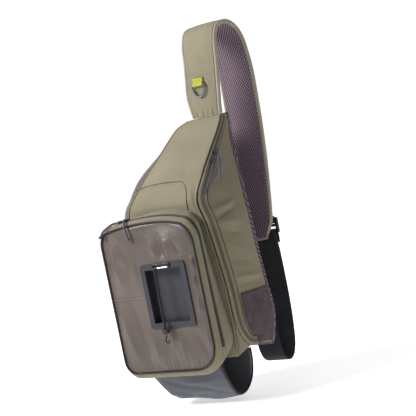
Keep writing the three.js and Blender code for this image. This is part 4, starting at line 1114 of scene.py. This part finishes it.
uneven = 0.55 + 0.45 * np.sin(x * 0.071 + 1) * np.cos(x * 0.033)
gathers = 0.9 * np.sin(x * 0.27 + 1.4 * np.sin(x * 0.05)) + 0.5 * np.sin(x * 0.61 + 2 * np.sin(x * 0.09))
edge_pull = 0.45 * np.sin(z * 0.21 + 1.8 * np.sin(z * 0.047)) * (0.5 + 0.5 * np.sin(z * 0.06 + 2))
gathers = gathers * uneven * lower + edge_pull * seam_fade * (1 - lower)
flat_round = DOCK["flange"]
from_hole = np.maximum(np.maximum(HOLE["left"] - flat_round - x, x - HOLE["right"] - flat_round),
                       np.maximum(HOLE["low"] - flat_round - z, z - HOLE["high"] - flat_round))
relief = (1.4 * folds + gathers + ripple(x, z, 2.0, 0.9)) * smoothstep(from_hole, -2, 12)
hole_area = (HOLE["right"] - HOLE["left"]) * (HOLE["high"] - HOLE["low"]) / 1e6
panel = cloth("pocket_front", points, WALL, (0, -1, 0), "coated", relief=relief, roll=2.0,
              hole=hole_area).data
edit = bmesh.new()
edit.from_mesh(panel)
low_corner = Vector(metres((HOLE["left"], 0, HOLE["low"])))
high_corner = Vector(metres((HOLE["right"], 0, HOLE["high"])))
for place, direction in ((low_corner, (1, 0, 0)), (high_corner, (1, 0, 0)), (low_corner, (0, 0, 1)),
                         (high_corner, (0, 0, 1))):
    bmesh.ops.bisect_plane(edit, geom=[*edit.verts, *edit.edges, *edit.faces], plane_co=place,
                           plane_no=direction)
inside = [face for face in edit.faces
          if low_corner.x < face.calc_center_median().x < high_corner.x
          and low_corner.z < face.calc_center_median().z < high_corner.z]
bmesh.ops.delete(edit, geom=inside, context="FACES")
bmesh.ops.bridge_loops(edit, edges=[line for line in edit.edges if line.is_boundary])
bmesh.ops.recalc_face_normals(edit, faces=edit.faces)
edit.to_mesh(panel)
edit.free()
seam_x = np.linspace(-106, -29, 40)
seam_points = np.stack([seam_x, np.full_like(seam_x, PANEL_FRONT - 0.5), 135.6 - 0.03 * (seam_x + 104)], -1)
seam_points[:5, 1] += np.linspace(2.6, 0, 5)
stitches("front_seam", seam_points, (0, -1, 0), "binding", 3.2, 1.0, 0.45)

# %% [markdown]
# Hard pieces that the CAD model already shapes get rounded edges and their finish.

# %%
sliders = [f"{zip_name}_slider_{place}" for zip_name, place in (
    ("main", "upper"), ("main", "lower"), ("pocket", "left"), ("pocket", "right"))]
for name, material, round_edge in (
        ("fly_dock", "dock", 0.9), ("tippet_toggle", "dock", 1.0), ("strap_buckle", "buckle", 1.0),
        *((name, "slider", 0.8) for name in sliders)):
    nodes[name].data.materials.clear()
    nodes[name].data.materials.append(MATERIAL[material])
    bevel = nodes[name].modifiers.new("edges", "BEVEL")
    bevel.width = round_edge / 1000
    bevel.segments = 3
    bevel.limit_method = "ANGLE"
    bevel.angle_limit = math.radians(40)
    bevel.harden_normals = True

reach_x = CLIP["wide"] / 2 - CLIP["tall"] / 2
end_radius = CLIP["tall"] / 2 - CLIP["wire"]
arc = np.linspace(-math.pi / 2, math.pi / 2, 20)
clip_line = np.vstack([
    np.stack([CLIP["x"] + hand * (reach_x + end_radius * np.cos(arc)), np.full_like(arc, CLIP_Y),
              CLIP["z"] + hand * end_radius * np.sin(arc)], -1)
    for hand in (1, -1)
])
sweep("clip", respaced(clip_line, 120, True), circle(CLIP["wire"], 12), "wire", closed=True)
bar = np.stack([np.linspace(CLIP["x"] - reach_x + 6, CLIP["x"] + reach_x, 12), np.full(12, CLIP_Y - 0.5),
                np.full(12, CLIP["z"] - end_radius)], -1)
sweep("clip_gate", bar, circle(CLIP["wire"] + 0.25, 12), "steel")

# %% [markdown]
# ## Strap
#
# Two padded layers sewn together and bound. The cover shows a seam across it, rows of stitches along its
# edges and gathers at its foot.

# %%
# The share of the strap's line that lies before its crest
FIRST_RUN = 7 / 17
# The seam across the cover: its height, its slant, and how far its two rows of stitches lie from it
SEAM_HEIGHT = 510
SEAM_SLANT = 0.12
SEAM_ROW = 3.2
# The height of the gathers at the cover's foot
GATHER_HEIGHT = 436
# A stitch's length, the space between two, and the thread's radius
STRAP_STITCH = (2.8, 1.6, 0.34)
wide_table = {"share": np.linspace(0, 1, len(STRAP)), "wide": STRAP_WIDE}


def half_at(share):
    return STRAP_HALF * sample(wide_table, "share", share, "wide")


def strap_layer(name, low, high, material, relief):
    side, v = grid(40, 420)
    side = 2 * side - 1
    share = v * (1 - END_SHARE)
    reach = half_at(share) - BINDING_WIDTH - SEAM_GAP
    thin = 1 - PAD_EDGE * np.abs(side) ** 3
    face = high if abs(high) > abs(low) else low
    raised = relief(side * reach, share) * np.sign(face)
    if face == high:
        top, bottom = high * thin + raised, low * thin
    else:
        top, bottom = high * thin, low * thin + raised
    made = shell(name, band_point(STRAP, share, side * reach, top),
                 band_point(STRAP, share, side * reach, bottom), material)


def z_of(share):
    return along(STRAP, share)[..., 2]


def groove(off, width):
    return np.exp(-(off / width) ** 2)


def cover_relief(side, share):
    height = z_of(share)
    edge_line = -0.5 * (groove(np.abs(side) - 27, 1.0) + groove(np.abs(side) - 23, 1.0))
    seam = -1.1 * groove(height - SEAM_HEIGHT + SEAM_SLANT * side, 1.3)
    foot = (0.9 * np.sin(side * 0.55) + 0.5 * np.sin(side * 0.9 + 1)) * groove(height - GATHER_HEIGHT, 9)
    return edge_line + (seam + foot) * (share < FIRST_RUN) + 0.25 * ripple(side, height, 1.0)


def lining_relief(side, share):
    return 0.5 - 0.9 * groove(np.abs(side) - 26, 1.4) + 0.3 * ripple(side, z_of(share), 1.0)


half_thick = STRAP_THICK / 2
strap_layer("strap_cover", 0.2, half_thick, "khaki", cover_relief)
strap_layer("strap_mesh", -half_thick, 0.2 - SEAM_GAP, "mesh", lining_relief)

round_section = circle(1, 16)
tape_section = np.sign(round_section) * np.abs(round_section) ** 0.5 * (BINDING_WIDTH / 2, BINDING_THICK / 2)
for name, sign in (("strap_binding_left", -1), ("strap_binding_right", 1)):
    share = np.linspace(0, 1, 420) * (1 - END_SHARE)
    middle_side = sign * (half_at(share) - BINDING_WIDTH / 2)
    rings = np.stack([band_point(STRAP, share, middle_side + wide, np.full_like(share, tall))
                      for wide, tall in tape_section], 1)
    tube(name + "_tape", rings, rings.mean(1), np.arange(len(tape_section)) * 1.5, "binding")
    share = np.linspace(0.01, 0.985, 500)
    for row, inset in (("outer", 7.2), ("inner", 10.4)):
        side = sign * (half_at(share) - inset)
        thin = 1 - PAD_EDGE * (np.abs(side) / (half_at(share) - BINDING_WIDTH)) ** 3
        line = band_point(STRAP, share, side, half_thick * thin - 0.15)
        above_line = band_point(STRAP, share, side, half_thick * thin + 0.85)
        stitches(f"{name}_stitches_{row}", line, above_line - line, "thread", *STRAP_STITCH)

share = 1 - END_SHARE * (0.97 - 0.94 * np.linspace(0, 1, 7))
side, share = np.meshgrid(np.linspace(-1, 1, 30), share, indexing="ij")
crown = np.sqrt(np.clip(1 - ((share - share.min()) / (share.max() - share.min()) * 2 - 1) ** 4, 0, 1))
half_tape = BINDING_THICK / 2 * (0.55 + 0.45 * crown)
shell("strap_end_tape", band_point(STRAP, share, side * half_at(share), half_tape),
      band_point(STRAP, share, side * half_at(share), -half_tape), "binding")

seam_side = np.linspace(-30, 30, 40)
shares = np.linspace(0, FIRST_RUN, 400)
thin = 1 - PAD_EDGE * (np.abs(seam_side) / 33) ** 3
for name, row in (("strap_seam_upper", SEAM_ROW), ("strap_seam_lower", -SEAM_ROW)):
    seam_share_at = np.interp(SEAM_HEIGHT + row - SEAM_SLANT * seam_side, z_of(shares), shares)
    line = band_point(STRAP, seam_share_at, seam_side, half_thick * thin - 0.1)
    stitches(name, line, (0, -1, 0.1), "thread", *STRAP_STITCH)

# %% [markdown]
# Webbing, buckle ribbon, anchor wing and D-ring.

# %%
def ribbon(name, route, half, material, steps):
    side, share = grid(16, steps)
    side = (2 * side - 1) * half
    slim = WEB_THICK / 2 * (1 - 0.55 * smoothstep(np.abs(side), half - WEB_EDGE, half))
    outer = band_point(route, share, side, slim)
    made = shell(name, outer, band_point(route, share, side, -slim), material)
    declare_sheet(outer, False)


ribbon("buckle_ribbon", BUCKLE_TAPE, WEB_HALF - 1, "lime", 90)
ribbon("webbing", WEBBING, WEB_HALF, "webbing", 260)

u, v = grid(24, 24)
corners = [np.array((x, SEAM_GAP + WALL, z), float) for x, z in WING]
points = between(between(corners[0], corners[1], u), between(corners[3], corners[2], u), v)
cloth("wing", points, WALL, (0, 1, 0), "khaki", roll=2.0)
box = np.array([(84, 5.4, 14), (116, 5.4, 14), (116, 5.4, 34), (84, 5.4, 34), (84, 5.4, 14)], float)
stitches("wing_stitches", respaced(box, 120), (0, 1, 0), "thread_dark")

RING = {"x": 45.0, "y": 26.65, "z": 493.0, "wire": 1.6, "wide": 31.0, "drop": 23.0, "corner": 2.4}
ring_reach = RING["wide"] / 2 - RING["wire"]


def ring_curve():
    corner = RING["corner"]
    drop = RING["drop"]
    half_line = np.vstack([
        [(0, 0), (ring_reach - corner, 0)],
        bezier((ring_reach - corner, 0), (ring_reach - corner / 3, 0), (ring_reach, -corner / 3),
               (ring_reach, -corner), 8),
        bezier((ring_reach, -corner), (ring_reach, -drop * 0.45), (ring_reach * 0.62, -drop), (0, -drop), 40),
    ])
    other = half_line[1:-1][::-1] * (-1, 1)
    flat = np.vstack([half_line, other])
    return np.stack([RING["x"] + flat[:, 0], np.full(len(flat), RING["y"]), RING["z"] + flat[:, 1]], -1)


ring_line = respaced(ring_curve(), 140, True)
sweep("ring", ring_line, circle(RING["wire"], 16), "ring_metal", closed=True, body="ring")

TAB_WIDTH = 22.0
TAB_THICK = 1.3
TAB_SEAM_HEIGHT = 505.8
TAB_BEND_HEIGHT = 499.5
loop = RING["wire"] + 0.4 + TAB_THICK / 2
tab_back = RING["y"] + loop
tab_front = tab_back - TAB_THICK - 0.1
turn = np.linspace(-0.6, math.pi, 18)
tab_route = np.vstack([
    [(RING["x"], tab_front, TAB_SEAM_HEIGHT), (RING["x"], tab_front, TAB_BEND_HEIGHT)],
    np.stack([np.full_like(turn, RING["x"]), RING["y"] - loop * np.cos(turn),
              RING["z"] - loop * np.sin(turn)], -1),
    [(RING["x"], tab_back, TAB_BEND_HEIGHT), (RING["x"], tab_back, TAB_SEAM_HEIGHT)],
])
side, share = grid(12, 120)
side = (2 * side - 1) * TAB_WIDTH / 2
half_tab = np.full_like(side, TAB_THICK / 2 * 0.9)
outer = band_point(tab_route, share, side, half_tab)
tab = shell("tab", outer, band_point(tab_route, share, side, -half_tab), "lime")
declare_sheet(outer, False)

# %% [markdown]
# ## Bottle sleeve
#
# One sheet under the base, from the pocket's seam to the back, with long slanting wrinkles and a bound mouth.

# %%
def sleeve_point(u, x, level):
    at = x / SLEEVE_LEFT
    drop = SLEEVE_DROP * sample(SLEEVE, "at", at, "drop") - level
    front_z = BOTTLE_RADIUS * sample(SLEEVE, "at", at, "rise")
    angle = math.pi * u
    side = np.cos(angle)
    return np.stack([x, SLEEVE_MIDDLE - (SLEEVE_HALF - level) * np.sign(side) * np.abs(side) ** 0.85,
                     front_z + (-SLEEVE_SEAM - front_z) * u - drop * np.sin(angle) ** 0.75], -1)


def mouth(u):
    return MOUTH_X + MOUTH_SLANT * np.sin(2 * math.pi * u) * (1 - u)


def below(points):
    return points * (0, 1, 1) - (0, SLEEVE_MIDDLE, 0)


u, v = grid(110, 150)
u = np.clip(u, 1e-4, 1 - 1e-4)
x = -SLEEVE_LEFT + (mouth(u) - SLEEVE_BINDING + SLEEVE_LEFT) * v
points = sleeve_point(u, x, 0)
around = u * SLEEVE_GIRTH
folds = creases(x, around, [
    (-95, 30, 20, 62, 7, 2.8), (-80, 12, 40, 34, 6, -2.6), (-60, 60, 60, 44, 8, -2.4),
    (-30, 20, 62, 16, 6, 2.4), (0, 80, 66, 66, 8, 2.2), (-88, 70, -20, 96, 8, -2.6),
    (20, 30, 68, 52, 5, -2.0), (-70, 40, -10, 52, 5, 2.2),
])
cloth("sleeve", points, WALL, below, "sleeve", relief=folds + ripple(x, around, 1.2, 0.8))

u, v = grid(110, 8)
u = np.clip(u, 1e-4, 1 - 1e-4)
x = mouth(u) - (SLEEVE_BINDING - SEAM_GAP) * (1 - v)
cloth("mouth_binding", sleeve_point(u, x, -0.6), WALL + 1.2, below, "zip_black", roll=1.6)

# %% [markdown]
# ## Studio
#
# A pale floor under the hanging bag and soft light from the viewer's upper left. The studio is white behind
# the bag and dimmer in front of it, so that folds keep their shade.

# %%
FLOOR_HALF = 30
FLOOR_HEIGHT = -86
FLOOR_GLOW = 0.45
WORLD_FRONT = 0.46
WORLD_BEHIND = 1.05
KEY_PLACE = (-1.3, -1.75, 1.15)
KEY_WATTS = 108
KEY_SIZE = 0.9

mesh = bpy.data.meshes.new("floor")
floor_z = float(metres((0, 0, FLOOR_HEIGHT))[2])
floor_corners = [(x * FLOOR_HALF, y * FLOOR_HALF, floor_z) for x, y in ((-1, -1), (1, -1), (1, 1), (-1, 1))]
mesh.from_pydata(floor_corners, [], [(0, 1, 2, 3)])
pale = Tree("floor")
pale.set(Base_Color=(0.95, 0.95, 0.95, 1), Roughness=1.0, Emission_Color=(1, 1, 1, 1),
         Emission_Strength=FLOOR_GLOW)
mesh.materials.append(pale.material)
add_object("floor", mesh)

world = bpy.data.worlds.new("studio")
scene.world = world
world.use_nodes = True
studio = world.node_tree
place = studio.nodes.new("ShaderNodeTexCoord")
toward = studio.nodes.new("ShaderNodeVectorMath")
toward.operation = "DOT_PRODUCT"
toward.inputs[1].default_value = tuple(-back)
fade = studio.nodes.new("ShaderNodeMapRange")
fade.interpolation_type = "SMOOTHSTEP"
for key, value in (("From Min", 0.1), ("From Max", 0.8), ("To Min", WORLD_FRONT), ("To Max", WORLD_BEHIND)):
    fade.inputs[key].default_value = value
background = studio.nodes["Background"]
background.inputs["Color"].default_value = (1, 1, 1, 1)
studio.links.new(place.outputs["Generated"], toward.inputs[0])
studio.links.new(toward.outputs["Value"], fade.inputs["Value"])
studio.links.new(fade.outputs["Result"], background.inputs["Strength"])
scene.view_settings.view_transform = "Standard"

light = bpy.data.lights.new("key", "AREA")
light.energy = KEY_WATTS
light.size = KEY_SIZE
key_light = add_object("key", light)
key_light.location = KEY_PLACE
key_light.rotation_euler = (Vector(metres(TARGET)) - Vector(KEY_PLACE)).to_track_quat("-Z", "Y").to_euler()
